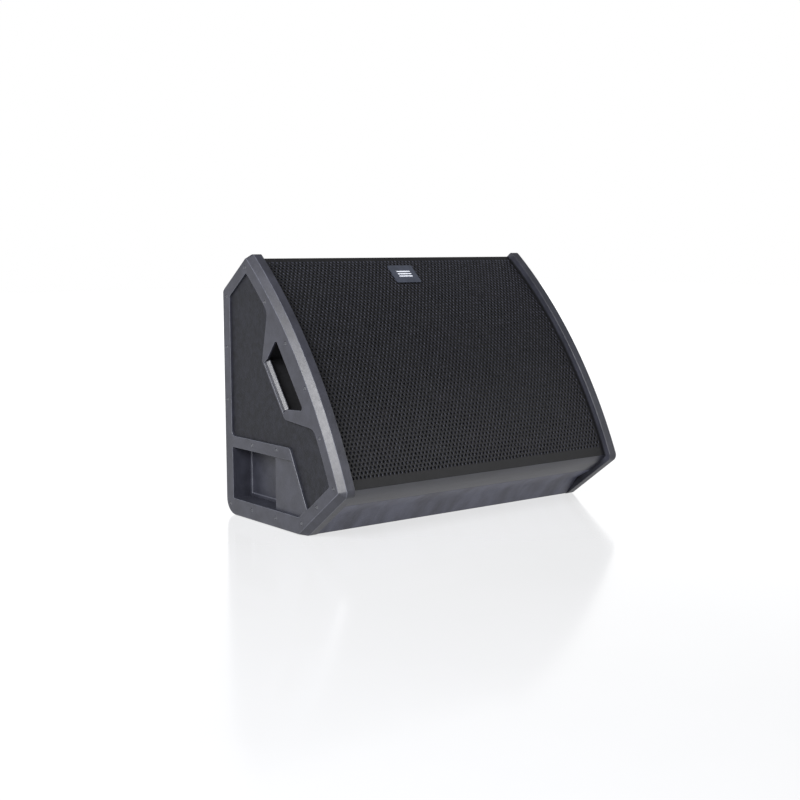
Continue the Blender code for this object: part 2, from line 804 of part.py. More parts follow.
def port_place(side):
    x = board_half() - CLEAT - PORT_RADIUS - PORT_WALL - PORT_GAP
    return axis_place(at_front(PORT_ALONG, BAFFLE_SETBACK), side * x)


def tube(inner, outer, start, end):
    """The outline of a plain ring, for turned()."""
    return [(outer, start), (outer, end), (inner, end), (inner, start)]


def basket():
    """The cast frame: a flange, six spokes, and a seat for the top plate."""
    seat = TOP_PLATE_DEPTH - CLEARANCE
    well = CUTOUT_RADIUS - CLEARANCE
    outline = [(FLANGE_RADIUS, -FLANGE), (FLANGE_RADIUS, -CLEARANCE), (well, -CLEARANCE),
               (well - 0.004, 0.020), (SPIDER_RADIUS + 0.006, seat),
               (COIL_RADIUS + 0.012, seat), (COIL_RADIUS + 0.012, seat - 0.004),
               (SPIDER_RADIUS + 0.001, seat - 0.004), (well - 0.010, 0.018),
               (SURROUND_OUTER - 0.013, -FLANGE)]
    frame = turned("woofer_basket", outline, driver_place(), CAST)
    for index in range(6):
        spin = Matrix.Rotation(math.tau * (index + 0.5) / 6, 4, 'Z')
        tool = loft("window", [[driver_place() @ spin @ Vector(point) for point in ring]
                               for ring in ([(0.105, -0.016, 0.090), (0.19, -0.016, 0.090),
                                             (0.19, 0.016, 0.090), (0.105, 0.016, 0.090)],
                                            [(0.12, -0.050, 0.028), (0.21, -0.050, 0.028),
                                             (0.21, 0.050, 0.028), (0.12, 0.050, 0.028)])])
        cut(frame, tool)


def cone_profile(radius, depth, sheet):
    """A thin cone from its rim to its neck."""
    rim = -FLANGE + 0.002
    return [(radius, rim), (radius, rim + sheet), (NECK_RADIUS, depth),
            (COIL_RADIUS + CLEARANCE, depth), (COIL_RADIUS + CLEARANCE, depth - sheet)]


def driver():
    place = driver_place()
    basket()
    turned("woofer_gasket", tube(SURROUND_OUTER + CLEARANCE, FLANGE_RADIUS,
                                 -FLANGE - CLEARANCE - GASKET, -FLANGE - CLEARANCE), place, RUBBER)

    inner = CONE_RADIUS + CLEARANCE
    middle = (inner + SURROUND_OUTER) / 2
    half = (SURROUND_OUTER - inner) / 2
    base = -FLANGE - CLEARANCE
    steps = 6
    roll = [(middle + half * math.cos(math.pi * i / steps),
             base - SURROUND_ROLL * math.sin(math.pi * i / steps)) for i in range(steps + 1)]
    sheet = 0.0012
    under = [(middle + (half - sheet) * math.cos(math.pi * i / steps),
              base - (SURROUND_ROLL - sheet) * math.sin(math.pi * i / steps))
             for i in range(steps, -1, -1)]
    turned("woofer_surround", roll + under, place, RUBBER)

    turned("woofer_cone", cone_profile(CONE_RADIUS, NECK_DEPTH, CONE_SHEET), place, PAPER)
    coil_inner = COIL_RADIUS - COIL_WALL
    turned("voice_coil", tube(coil_inner, COIL_RADIUS, NECK_DEPTH - CONE_SHEET, COIL_END),
           place, COPPER)
    turned("woofer_spider", tube(COIL_RADIUS + GAP, SPIDER_RADIUS, SPIDER_DEPTH,
                                 SPIDER_DEPTH + 0.0012), place, PAPER)

    plate_end = TOP_PLATE_DEPTH + TOP_PLATE
    turned("top_plate", tube(COIL_RADIUS + GAP, MAGNET_RADIUS - 0.002, TOP_PLATE_DEPTH,
                             plate_end), place, BARE_STEEL)
    magnet_end = plate_end + CLEARANCE + MAGNET
    turned("magnet_ring", tube(COIL_RADIUS + 0.006, MAGNET_RADIUS, plate_end + CLEARANCE,
                               magnet_end), place, FERRITE)
    pole = coil_inner - GAP
    yoke_start = magnet_end + CLEARANCE
    yoke_end = yoke_start + YOKE
    turned("pole_yoke", [(pole, TOP_PLATE_DEPTH), (pole, yoke_start),
                         (MAGNET_RADIUS - 0.002, yoke_start), (MAGNET_RADIUS - 0.002, yoke_end),
                         (THROAT_RADIUS, yoke_end), (THROAT_RADIUS, TOP_PLATE_DEPTH)],
           place, BARE_STEEL)

    throat = TOP_PLATE_DEPTH - CLEARANCE
    flare = [(1.0, 0.0), (0.62, 0.18), (0.28, 0.45), (0.08, 0.78), (0.0, 1.0)]
    inside = [(THROAT_RADIUS + (HORN_RADIUS - THROAT_RADIUS) * opening,
               HORN_DEPTH + (throat - HORN_DEPTH) * share) for opening, share in flare]
    outside = [(radius + HORN_WALL, depth) for radius, depth in reversed(inside)]
    turned("hf_waveguide", inside + outside, place, ABS)
    hf_start = yoke_end + CLEARANCE
    hf_end = hf_start + HF_LENGTH
    turned("compression_driver", [(0.0, hf_start), (HF_RADIUS, hf_start),
                                  (HF_RADIUS, hf_end), (0.0, hf_end)], place, FERRITE)
    cover = hf_end + CLEARANCE
    turned("hf_rear_cover", [(0.0, cover), (HF_RADIUS - 0.004, cover),
                             (HF_RADIUS - 0.008, cover + HF_COVER), (0.0, cover + HF_COVER)],
           place, ABS)

    for side in (-1, 1):
        outer = PORT_RADIUS + PORT_WALL
        turned("port_tube_" + label(side),
               [(PORT_RADIUS, -0.003), (outer + PORT_FLANGE, -0.003),
                (outer + PORT_FLANGE, -CLEARANCE), (outer, -CLEARANCE),
                (outer, PORT_LENGTH), (PORT_RADIUS, PORT_LENGTH)], port_place(side), ABS, 24)


# -------------------------------------------------------------- amplifier ----
def sink_base():
    """The Y of the heat sink's inner face."""
    return rear_line(BODY_INSET)[0].x - CLEARANCE - FIN_HEIGHT - SINK_BASE


def heat_sink():
    """The finned extrusion that fills the opening in the rear panel."""
    inner = sink_base()
    root = inner + SINK_BASE
    tip = root + FIN_HEIGHT
    pitch = (2 * SINK_HALF - FIN_WIDTH) / (FIN_COUNT - 1)
    outline = [(SINK_HALF, inner), (-SINK_HALF, inner)]
    for index in range(FIN_COUNT):
        left = -SINK_HALF + pitch * index
        outline += [(left, root), (left, tip), (left + FIN_WIDTH, tip), (left + FIN_WIDTH, root)]
    loft("heat_sink", [[(x, y, z) for x, y in outline] for z in (SINK_BOTTOM, SINK_TOP)],
         ALUMINIUM)


def upright_at(x, y, z):
    return Matrix.Translation((x, y, z))


def amplifier():
    heat_sink()
    back = sink_base() - CLEARANCE
    floor = BODY_INSET + PANEL + CLEARANCE
    front = back - TRAY_LENGTH
    corner = [(front, floor), (back, floor), (back, SINK_TOP), (back - SHEET, SINK_TOP),
              (back - SHEET, floor + SHEET), (front, floor + SHEET)]
    board("amp_chassis", [Vector(point) for point in corner], TRAY_HALF, ALUMINIUM)
    deck = floor + SHEET + STANDOFF
    edge = back - SHEET - STANDOFF
    half = TRAY_HALF - 0.008
    box("power_board", (-half, front + 0.004, deck), (half, edge - 0.006, deck + BOARD_SHEET),
        CIRCUIT)
    box("amp_board", (-half, edge - BOARD_SHEET, deck), (half, edge, SINK_TOP - 0.004), CIRCUIT)
    seat = deck + BOARD_SHEET + CLEARANCE
    middle = (front + edge) / 2
    turned("toroid_transformer",
           tube(0.014, TOROID_RADIUS, 0.0, TOROID_HEIGHT),
           upright_at(-TRAY_HALF / 2, middle, seat), COPPER, 24)
    for index in range(2):
        x = TRAY_HALF * (0.25 + 0.35 * index)
        turned("smoothing_capacitor_%d" % (index + 1),
               [(0.0, 0.0), (CAPACITOR_RADIUS, 0.0), (CAPACITOR_RADIUS, CAPACITOR_HEIGHT),
                (0.0, CAPACITOR_HEIGHT)], upright_at(x, middle, seat), FERRITE, 16)

    inner = rear_line(BODY_INSET + PANEL + CLEARANCE)[0].x
    top = HEIGHT - RIDGE_DROP - WADDING_DROP
    driver_end = at_front(0.0, BAFFLE_SETBACK + driver_length())
    bottom = driver_end.y + HF_RADIUS + WADDING_GAP
    half = board_half() - WADDING_MARGIN
    box("damping_wadding", (-half, inner - WADDING_THICKNESS, bottom),
        (half, inner, top), WADDING)


# -------------------------------------------------------- connector plate ----
def plate_face():
    """Depth of the connector plate's outer face."""
    return POCKET_DEPTH - CLEARANCE - PLATE_THICKNESS


def plate_columns():
    """The Y of the four connectors, evenly spread over the plate."""
    low, high = plate_box()
    pitch = (high.x - low.x) / 4
    return [low.x + pitch * (index + 0.5) for index in range(4)]


def disc(radius, start, end):
    return [(0.0, start), (radius, start), (radius, end), (0.0, end)]


def plate_place(y, z, depth=0.0):
    """Local +Z outward from the right cap, starting at this depth."""
    turn = Matrix.Rotation(math.pi / 2, 4, 'Y')
    return Matrix.Translation((WIDTH / 2 - depth, y, z)) @ turn


def connector_plate():
    """The aluminium plate, drilled for everything that is fixed in it."""
    low, high = plate_box()
    inner = POCKET_DEPTH - CLEARANCE
    plate = side_prism("connector_plate", rectangle(low, high), plate_face(), inner, 1, ALUMINIUM)
    columns = plate_columns()
    holes = [(y, UPPER_ROW, BARREL_RADIUS) for y in columns]
    holes += [(columns[2], LOWER_ROW, SHAFT_RADIUS), (columns[3], LOWER_ROW, BUTTON_RADIUS),
              (columns[1], LOWER_ROW + 0.008, LED_RADIUS),
              (columns[1], LOWER_ROW - 0.008, LED_RADIUS)]
    for y, z, radius in holes:
        cut(plate, turned("hole", disc(radius + CLEARANCE, -0.02, 0.02),
                          plate_place(y, z, plate_face()), None, 20))
    rocker = Vector((ROCKER_WIDTH / 2 + 0.0018, ROCKER_HEIGHT / 2 + 0.0018))
    centre = Vector((columns[0], LOWER_ROW))
    cut(plate, side_prism("rocker_hole", rectangle(centre - rocker, centre + rocker),
                          0.0, 0.08, 1))
    tray = bpy.data.objects["bay_tray_right"]
    inside = Vector((0.004, 0.004))
    cut(tray, side_prism("plate_opening", rectangle(low + inside, high - inside), 0.01, 0.08, 1))


def connector(name, y, z, look):
    """A flanged socket: its flange on the plate and its barrel behind it."""
    face = plate_face() - CLEARANCE
    corner = Vector((FLANGE_WIDTH / 2, FLANGE_HEIGHT / 2))
    centre = Vector((y, z))
    body = side_prism(name, rectangle(centre - corner, centre + corner),
                      face - FLANGE_SHEET, face, 1, look)
    place = plate_place(y, z, face)
    join(body, turned("barrel", disc(BARREL_RADIUS, FLANGE_SHEET / 2, -BARREL_LENGTH),
                      place, None, 20))
    cut(body, turned("socket", disc(SOCKET_RADIUS, 0.02, FLANGE_SHEET - SOCKET_DEPTH),
                     place, None, 20))
    return body


def controls():
    columns = plate_columns()
    face = plate_face()
    connector("mains_inlet", columns[0], UPPER_ROW, ABS)
    connector("mains_link", columns[1], UPPER_ROW, ABS)
    signal_in = connector("signal_input", columns[2], UPPER_ROW, CAST)
    connector("signal_link", columns[3], UPPER_ROW, CAST)

    top = UPPER_ROW + FLANGE_HEIGHT / 2
    notch = Vector((LATCH_WIDTH / 2 + CLEARANCE, LATCH_HEIGHT))
    centre = Vector((columns[2], top))
    cut(signal_in, side_prism("latch_notch", rectangle(centre - notch, centre + notch),
                              0.0, 0.08, 1))
    tab = Vector((LATCH_WIDTH / 2, 0.0))
    low = centre - tab - Vector((0.0, LATCH_HEIGHT - CLEARANCE))
    side_prism("signal_latch", rectangle(low, centre + tab),
               face - FLANGE_SHEET - 0.003, face - 0.0019, 1, BARE_STEEL)

    pot = plate_place(columns[2], LOWER_ROW, POCKET_DEPTH)
    turned("level_pot", [(0.0, 0.014), (SHAFT_RADIUS, 0.014), (SHAFT_RADIUS, -CLEARANCE),
                         (0.008, -CLEARANCE), (0.008, -0.010), (0.0, -0.010)],
           pot, BARE_STEEL, 20)
    knob = plate_place(columns[2], LOWER_ROW, face - 0.0008)
    bore = SHAFT_RADIUS + CLEARANCE
    turned("level_knob", [(0.0, KNOB_LENGTH), (KNOB_RADIUS - 0.001, KNOB_LENGTH),
                          (KNOB_RADIUS, 0.001), (KNOB_RADIUS, 0.0), (bore, 0.0),
                          (bore, 0.011), (0.0, 0.011)], knob, RUBBER, 20)

    button = plate_place(columns[3], LOWER_ROW, face)
    turned("preset_button", disc(BUTTON_RADIUS, 0.0035, -0.006), button, ABS, 16)

    window = Vector((ROCKER_WIDTH / 2 + 0.0006, ROCKER_HEIGHT / 2 + 0.0006))
    wall = Vector((0.0009, 0.0009))
    centre = Vector((columns[0], LOWER_ROW))
    frame = side_prism("rocker_frame", rectangle(centre - window - wall, centre + window + wall),
                       face - 0.0015, face + 0.014, 1, ABS)
    cut(frame, side_prism("well", rectangle(centre - window, centre + window),
                          0.0, face + 0.0125, 1))
    power_rocker(columns[0])

    for name, drop, look in (("power_light", 0.008, CLEAR_GREEN), ("limit_light", -0.008, CLEAR_RED)):
        turned(name, disc(LED_RADIUS, 0.0015, -0.006),
               plate_place(columns[1], LOWER_ROW + drop, face), look, 12)

    low, high = plate_box()
    side_prism("signal_board", rectangle(low, high), 0.062, 0.062 + BOARD_SHEET, 1, CIRCUIT)


def power_rocker(y):
    """The rocker, built tilted to its off position about a pivot along Y."""
    half = ROCKER_HEIGHT / 2 - 0.0008
    section = [(0.0015, half), (0.0, 0.0), (0.0015, -half), (-0.0045, -half * 0.55),
               (-0.0045, half * 0.55)]
    pivot = Vector((WIDTH / 2 - plate_face(), 0.0, LOWER_ROW))
    rings = []
    for end in (-1, 1):
        ring = []
        for out, up in section:
            turned_out = out * math.cos(ROCKER_TILT) - up * math.sin(ROCKER_TILT)
            turned_up = out * math.sin(ROCKER_TILT) + up * math.cos(ROCKER_TILT)
            ring.append(pivot + Vector((turned_out, y + end * ROCKER_WIDTH / 2, turned_up)))
        rings.append(ring)
    loft("power_rocker", rings, RUBBER)


def build():
    clear_scene()
    centre_on_floor()
    for side in (-1, 1):
        end_cap(side)
        side_panel(side)
        hand_cup(side)
        hand_grip(side)
        bay_tray(side)
    blanking_plate()
    cabinet_boards()
    baffle_board()
    nose_trim()
    grille_set()
    driver()
    amplifier()
    connector_plate()
    controls()


build()
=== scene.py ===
"""Active stage monitor wedge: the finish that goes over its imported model.

Metres, +Z up.  X runs across the cabinet and the grille faces -Y.
"""
import math

import bmesh
import bpy
from mathutils import Matrix, Vector, noise


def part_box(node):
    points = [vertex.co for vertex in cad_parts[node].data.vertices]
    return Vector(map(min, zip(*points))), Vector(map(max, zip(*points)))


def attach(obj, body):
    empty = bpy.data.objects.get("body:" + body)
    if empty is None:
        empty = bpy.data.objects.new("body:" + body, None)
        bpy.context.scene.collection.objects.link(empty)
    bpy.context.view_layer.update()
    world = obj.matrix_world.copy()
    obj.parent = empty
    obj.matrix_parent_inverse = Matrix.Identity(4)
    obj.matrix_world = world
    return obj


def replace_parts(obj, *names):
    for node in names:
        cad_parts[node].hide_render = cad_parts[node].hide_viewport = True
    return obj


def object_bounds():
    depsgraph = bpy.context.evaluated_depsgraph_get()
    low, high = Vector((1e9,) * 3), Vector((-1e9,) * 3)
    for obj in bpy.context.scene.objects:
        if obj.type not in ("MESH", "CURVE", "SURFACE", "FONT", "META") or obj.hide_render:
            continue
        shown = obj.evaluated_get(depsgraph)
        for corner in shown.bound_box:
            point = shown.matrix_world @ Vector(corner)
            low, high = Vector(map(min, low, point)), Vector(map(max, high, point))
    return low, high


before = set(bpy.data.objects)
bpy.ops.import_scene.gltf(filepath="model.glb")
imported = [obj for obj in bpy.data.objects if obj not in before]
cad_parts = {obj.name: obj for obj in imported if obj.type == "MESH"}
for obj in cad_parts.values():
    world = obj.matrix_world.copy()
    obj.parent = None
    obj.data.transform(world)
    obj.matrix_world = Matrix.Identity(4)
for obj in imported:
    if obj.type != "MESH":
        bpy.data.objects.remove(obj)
cad_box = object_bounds()


# ---------------------------------------------------- rear and top boards ----
# Birch plywood boards, glued and screwed, with their arrises eased and sprayed
# with a two-part structure paint.  The paint dries to a hard, pebbled, nearly
# matt charcoal skin that shows soft mottling and no wood grain.
ARRIS = 0.0012


def linear(colour):
    """An sRGB hex colour as linear RGBA."""
    parts = [int(colour[i:i + 2], 16) / 255 for i in (1, 3, 5)]
    return [c / 12.92 if c <= 0.04045 else ((c + 0.055) / 1.055) ** 2.4 for c in parts] + [1.0]


def add(tree, kind, inputs=None, **settings):
    """Adds a node with its settings; inputs are values or the sockets that feed it."""
    made = tree.nodes.new(kind)
    for key, value in settings.items():
        setattr(made, key, value)
    for key, value in (inputs or {}).items():
        if isinstance(value, bpy.types.NodeSocket):
            tree.links.new(value, made.inputs[key])
        else:
            made.inputs[key].default_value = value
    return made


def finish(name, roughness, **sockets):
    """A new material with its shader; sockets are set straight on the shader."""
    made = bpy.data.materials.new(name)
    made.use_nodes = True
    shader = made.node_tree.nodes["Principled BSDF"]
    shader.inputs["Roughness"].default_value = roughness
    for key, value in sockets.items():
        shader.inputs[key.replace("_", " ")].default_value = value
    return made, made.node_tree, shader


def mottle(tree, shader, dark, light, size, place=None):
    """Colour that drifts between two tones over patches of this size."""
    place = place or add(tree, "ShaderNodeTexCoord").outputs["Object"]
    cloud = add(tree, "ShaderNodeTexNoise",
                {"Vector": place, "Scale": 1 / size, "Detail": 5.0, "Roughness": 0.62})
    ramp = add(tree, "ShaderNodeValToRGB", {"Fac": cloud.outputs["Fac"]})
    ramp.color_ramp.elements[0].position = 0.36
    ramp.color_ramp.elements[1].position = 0.64
    ramp.color_ramp.elements[0].color = linear(dark)
    ramp.color_ramp.elements[1].color = linear(light)
    tree.links.new(ramp.outputs["Color"], shader.inputs["Base Color"])
    return place, ramp.outputs["Color"]


def pebble(tree, shader, place, size, height, strength=0.6, feature="F1"):
    """Raised grain of this size and height under the finish."""
    cells = add(tree, "ShaderNodeTexVoronoi", {"Vector": place, "Scale": 1 / size},
                feature=feature)
    bump = add(tree, "ShaderNodeBump",
               {"Height": cells.outputs["Distance"], "Distance": height, "Strength": strength})
    tree.links.new(bump.outputs["Normal"], shader.inputs["Normal"])
    return cells.outputs["Distance"]


def bake(piece):
    """Replaces a piece's mesh by its evaluated one and drops the modifiers."""
    graph = bpy.context.evaluated_depsgraph_get()
    mesh = bpy.data.meshes.new_from_object(piece.evaluated_get(graph))
    piece.modifiers.clear()
    piece.data = mesh
    mesh.name = piece.name
    return piece


def solid(name, body_mesh, material, body="cabinet", smooth=32.0):
    """Turns a bmesh into a finished piece with outward faces and even shading."""
    bmesh.ops.remove_doubles(body_mesh, verts=body_mesh.verts, dist=1e-6)
    bmesh.ops.recalc_face_normals(body_mesh, faces=body_mesh.faces)
    if body_mesh.calc_volume(signed=True) < 0:
        bmesh.ops.reverse_faces(body_mesh, faces=body_mesh.faces)
    mesh = bpy.data.meshes.new(name)
    body_mesh.to_mesh(mesh)
    body_mesh.free()
    mesh.shade_smooth()
    mesh.set_sharp_from_angle(angle=math.radians(smooth))
    mesh.materials.append(material)
    piece = bpy.data.objects.new(name, mesh)
    bpy.context.scene.collection.objects.link(piece)
    weigh = piece.modifiers.new("even", "WEIGHTED_NORMAL")
    weigh.keep_sharp = True
    bake(piece)
    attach(piece, body)
    return piece


def eased(node_name, width, material, body="cabinet", steps=3):
    """A copy of a CAD piece with its edges rounded; worn marks the rounded part."""
    shape = bmesh.new()
    shape.from_mesh(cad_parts[node_name].data)
    bmesh.ops.remove_doubles(shape, verts=shape.verts, dist=1e-5)
    bmesh.ops.dissolve_limit(shape, angle_limit=math.radians(1.0),
                             verts=shape.verts, edges=shape.edges)
    edges = [e for e in shape.edges if len(e.link_faces) == 2
             and e.calc_face_angle(0.0) > math.radians(28)]
    made = bmesh.ops.bevel(shape, geom=edges, offset=width, offset_type="OFFSET",
                           segments=steps, profile=0.5, affect="EDGES", clamp_overlap=True)
    rounded_faces = set(made["faces"])
    worn = shape.verts.layers.float.new("worn")
    for vert in shape.verts:
        vert[worn] = float(all(face in rounded_faces for face in vert.link_faces))
    piece = solid(node_name + "_made", shape, material, body)
    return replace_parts(piece, node_name)


structure_paint, tree, shader = finish("structure_paint_charcoal", 0.66,
                                       Specular_IOR_Level=0.32)
place, _ = mottle(tree, shader, "#0c0d12", "#17181f", 0.010)
# the pebbles are under a millimetre; drawn at 2.2 mm so that they show
pebble(tree, shader, place, 0.0022, 0.0005)

for board in ("rear_panel", "top_panel", "bottom_panel"):
    eased(board, ARRIS, structure_paint)
for board in ("top_cleat", "baffle", "baffle_cleat_left", "baffle_cleat_right",
              "side_panel_left", "side_panel_right"):
    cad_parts[board].data.materials.clear()
    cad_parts[board].data.materials.append(structure_paint)


# ---------------------------------------------------- lower front board ----
# The board between the trim and the floor.  Its paint is the same charcoal,
# handled and kicked until it is scuffed to a lighter, bluish sheen.
scuffed_paint, tree, shader = finish("structure_paint_scuffed", 0.5)
place = add(tree, "ShaderNodeTexCoord").outputs["Object"]
drawn = add(tree, "ShaderNodeMapping", {"Vector": place, "Scale": (1.0, 0.35, 0.35)})
_, tone = mottle(tree, shader, "#2d2e3b", "#464858", 0.030, drawn.outputs["Vector"])
pebble(tree, shader, place, 0.0026, 0.0005, 0.5)
eased("front_board", ARRIS, scuffed_paint)


# --------------------------------------------------------------- end caps ----
# One moulding per side in textured black-grey ABS: a 4 mm plate with a rim
# round the cabinet's end, a 45 degree bevel along the front and the toe, and
# openings for the side panel, the hand slot and the bay.
HALF_WIDTH = cad_box[1].x
CAP_PLATE = 0.004
CAP_WALL = 0.010
CAP_DEPTH = 0.0263
CAP_BEVEL = 0.0102
CAP_EDGE = 0.002
EDGE_RADIUS = 0.0009
HOLE_RADIUS = 0.0009
TOE_RADIUS, FOOT_RADIUS, SHOULDER_RADIUS = 0.012, 0.028, 0.008
APEX_RADIUS, NOSE_RADIUS = 0.006, 0.012
TOE = Vector((-0.068977, 0.0))
FOOT = Vector((0.178823, 0.0))
SHOULDER = Vector((0.178823, 0.3922))
APEX = Vector((0.091323, 0.4556))
NOSE = Vector((-0.181577, 0.0822))
FRONT_BOW = 0.0289
REAR_RIM, RIDGE_RIM, FRONT_RIM, TOE_RIM = 0.0235, 0.022, 0.030, 0.030
SCREW_HOLE = 0.0031
SCREW_DEPTH = 0.0013


def inset_line(start, end, distance):
    """The line from start to end, moved inward, as a point and a direction."""
    direction = (end - start).normalized()
    return start + Vector((-direction.y, direction.x)) * distance, direction


def meet(first, second):
    """Where two lines cross."""
    (point, along), (other, across) = first, second
    gap = other - point
    turn = along.x * across.y - along.y * across.x
    return point + along * ((gap.x * across.y - gap.y * across.x) / turn)


def floor_line(inset):
    return inset_line(TOE, FOOT, inset)


def rear_line(inset):
    return inset_line(FOOT, SHOULDER, inset)


def ridge_line(inset):
    return inset_line(SHOULDER, APEX, inset)


def toe_line(inset):
    return inset_line(NOSE, TOE, inset)


UP = (APEX - NOSE).normalized()
INWARD = Vector((UP.y, -UP.x))
HALF_CHORD = (APEX - NOSE).length / 2
BOW_RADIUS = (HALF_CHORD ** 2 + FRONT_BOW ** 2) / (2 * FRONT_BOW)
BOW_CENTRE = (APEX + NOSE) / 2 + INWARD * (BOW_RADIUS - FRONT_BOW)


def at_front(along, inward):
    """A point by its distance up the chord from its middle, and behind it."""
    return (APEX + NOSE) / 2 + UP * along + INWARD * inward


def meet_bow(line, inset):
    """Where a line crosses the bowed front moved inward."""
    point, direction = line
    along = (point - BOW_CENTRE).dot(direction)
    off = (point - BOW_CENTRE - direction * along).length
    reach = math.sqrt((BOW_RADIUS - inset) ** 2 - off * off)
    hits = [point + direction * (sign * reach - along) for sign in (-1, 1)]
    return min(hits, key=lambda hit: (hit - BOW_CENTRE).dot(INWARD))


def bow_angle(point):
    return math.atan2(point.y - BOW_CENTRE.y, point.x - BOW_CENTRE.x)


def bow_arc(start, end, inset, steps):
    """Points along the bowed front moved inward, ends included."""
    first, last = bow_angle(start), bow_angle(end)
    reach = BOW_RADIUS - inset
    return [BOW_CENTRE + Vector((math.cos(a), math.sin(a))) * reach
            for a in (first + (last - first) * i / steps for i in range(steps + 1))]


def rounded(corners, steps=9):
    """Points of an outline given as (corner, radius) pairs."""
    points = []
    for index, (corner, radius) in enumerate(corners):
        if radius <= 0.0:
            points.append(corner)
            continue
        before = (corners[index - 1][0] - corner).normalized()
        after = (corners[(index + 1) % len(corners)][0] - corner).normalized()
        half = before.angle(after) / 2
        centre = corner + (before + after).normalized() * (radius / math.sin(half))
        start = corner + before * (radius / math.tan(half)) - centre
        turn = start.angle_signed(corner + after * (radius / math.tan(half)) - centre)
        for step in range(steps + 1):
            points.append(centre + Matrix.Rotation(-turn * step / steps, 2) @ start)
    return points


def side_outline(floor, rear, ridge, front, toe):
    """The rounded side outline with each edge moved inward by its own inset."""
    top = meet_bow(ridge_line(ridge), front)
    low = meet_bow(toe_line(toe), front)
    corners = [(meet(toe_line(toe), floor_line(floor)), max(TOE_RADIUS - toe, 0.001)),
               (meet(floor_line(floor), rear_line(rear)), max(FOOT_RADIUS - rear, 0.001)),
               (meet(rear_line(rear), ridge_line(ridge)), max(SHOULDER_RADIUS - rear, 0.001)),
               (top, max(APEX_RADIUS - ridge, 0.001))]
    corners += [(point, 0.0) for point in bow_arc(top, low, front, 72)[3:-3]]
    corners.append((low, max(NOSE_RADIUS - toe, 0.001)))
    return rounded(corners)


BAY_BOTTOM, BAY_TOP, BAY_RIM, BAY_LIP = 0.030, 0.1205, 0.020, 0.0045
BAY_LEAN = math.radians(62.5)
BAY_REAR = rear_line(REAR_RIM)[0].x
SLOT_HALF, SLOT_TOP, SLOT_BOTTOM = 0.0680, 0.0570, -0.0395
SLOT_SETBACK, SLOT_WIDTH, GRIP_WIDTH = 0.0145, 0.0425, 0.0110
BOSS_TOP, BOSS_BOTTOM, BOSS_BACK, BOSS_SPREAD = 0.0640, -0.0500, 0.0720, 0.87


def level(height):
    return Vector((0.0, height)), Vector((1.0, 0.0))


def upright(y):
    return Vector((y, 0.0)), Vector((0.0, 1.0))


def bay_diagonal(shift):
    """The leaning front edge of the bay's land, moved rearward by a shift."""
    corner = Vector((BAY_REAR - 0.186, BAY_TOP + BAY_RIM))
    along = Vector((math.cos(BAY_LEAN), math.sin(BAY_LEAN)))
    return corner + Vector((along.y, -along.x)) * shift, along


def bay_outline():
    rear, top, bottom = upright(BAY_REAR - 0.0015), level(BAY_TOP), level(BAY_BOTTOM)
    diagonal, toe = bay_diagonal(BAY_LIP), toe_line(TOE_RIM + BAY_LIP / 2)
    return rounded([(meet(bottom, rear), 0.002), (meet(rear, top), 0.002),
                    (meet(top, diagonal), 0.002), (meet(diagonal, toe), 0.004),
                    (meet(toe, bottom), 0.002)])


def slot_outline():
    """The hand slot and the seat that the grip is set in."""
    back = SLOT_SETBACK + SLOT_WIDTH
    seat = back + GRIP_WIDTH + 0.0003
    top, bottom = SLOT_TOP + 0.0003, SLOT_BOTTOM - 0.0003
    return rounded([(at_front(SLOT_HALF, SLOT_SETBACK), 0.005),
                    (at_front(-SLOT_HALF, SLOT_SETBACK), 0.005),
                    (at_front(bottom, back), 0.0), (at_front(bottom, seat), 0.0),
                    (at_front(top, seat), 0.0), (at_front(top, back), 0.0)])


def boss_edge(along, spread):
    """One sloping end of the land round the hand slot."""
    back = at_front(along, BOSS_BACK)
    return back, (at_front(along + spread * BOSS_BACK, 0.0) - back).normalized()


def window_outline():
    """The opening that shows the side panel."""
    rim_top, rear, ridge = level(BAY_TOP + BAY_RIM), rear_line(REAR_RIM), ridge_line(RIDGE_RIM)
    toe, diagonal = toe_line(TOE_RIM), bay_diagonal(0.0)
    top = meet_bow(ridge, FRONT_RIM)
    upper = meet_bow(boss_edge(BOSS_TOP, BOSS_SPREAD), FRONT_RIM)
    lower = meet_bow(boss_edge(BOSS_BOTTOM, -BOSS_SPREAD), FRONT_RIM)
    nose = meet_bow(toe, FRONT_RIM)
    corners = [(meet(rim_top, rear), 0.008), (meet(rear, ridge), 0.006), (top, 0.003)]
    corners += [(p, 0.0) for p in bow_arc(top, upper, FRONT_RIM, 12)[2:-2]]
    corners += [(upper, 0.020), (at_front(BOSS_TOP, BOSS_BACK), 0.006),
                (at_front(BOSS_BOTTOM, BOSS_BACK), 0.012), (lower, 0.020)]
    corners += [(p, 0.0) for p in bow_arc(lower, nose, FRONT_RIM, 12)[2:-2]]
    corners += [(nose, 0.003), (meet(toe, diagonal), 0.004), (meet(diagonal, rim_top), 0.008)]
    return rounded(corners)


def grown(outline, distance):
    """A closed outline moved outward along its own normals."""
    area = sum(a.x * b.y - a.y * b.x for a, b in zip(outline, outline[1:] + outline[:1]))
    side = math.copysign(distance, area)
    moved = []
    for before, point, after in zip(outline[-1:] + outline[:-1], outline,
                                    outline[1:] + outline[:1]):
        first, second = (point - before).normalized(), (after - point).normalized()
        normal = (Vector((first.y, -first.x)) + Vector((second.y, -second.x))).normalized()
        stretch = max(normal.dot(Vector((first.y, -first.x))), 0.5)
        moved.append(point + normal * (side / stretch))
    return moved


def curve_between(first, corner, last, steps=3):
    """Points of a rounded corner from first to last round a sharp one."""
    return [first * (1 - t) ** 2 + corner * (2 * t * (1 - t)) + last * t * t
            for t in (i / steps for i in range(steps + 1))]


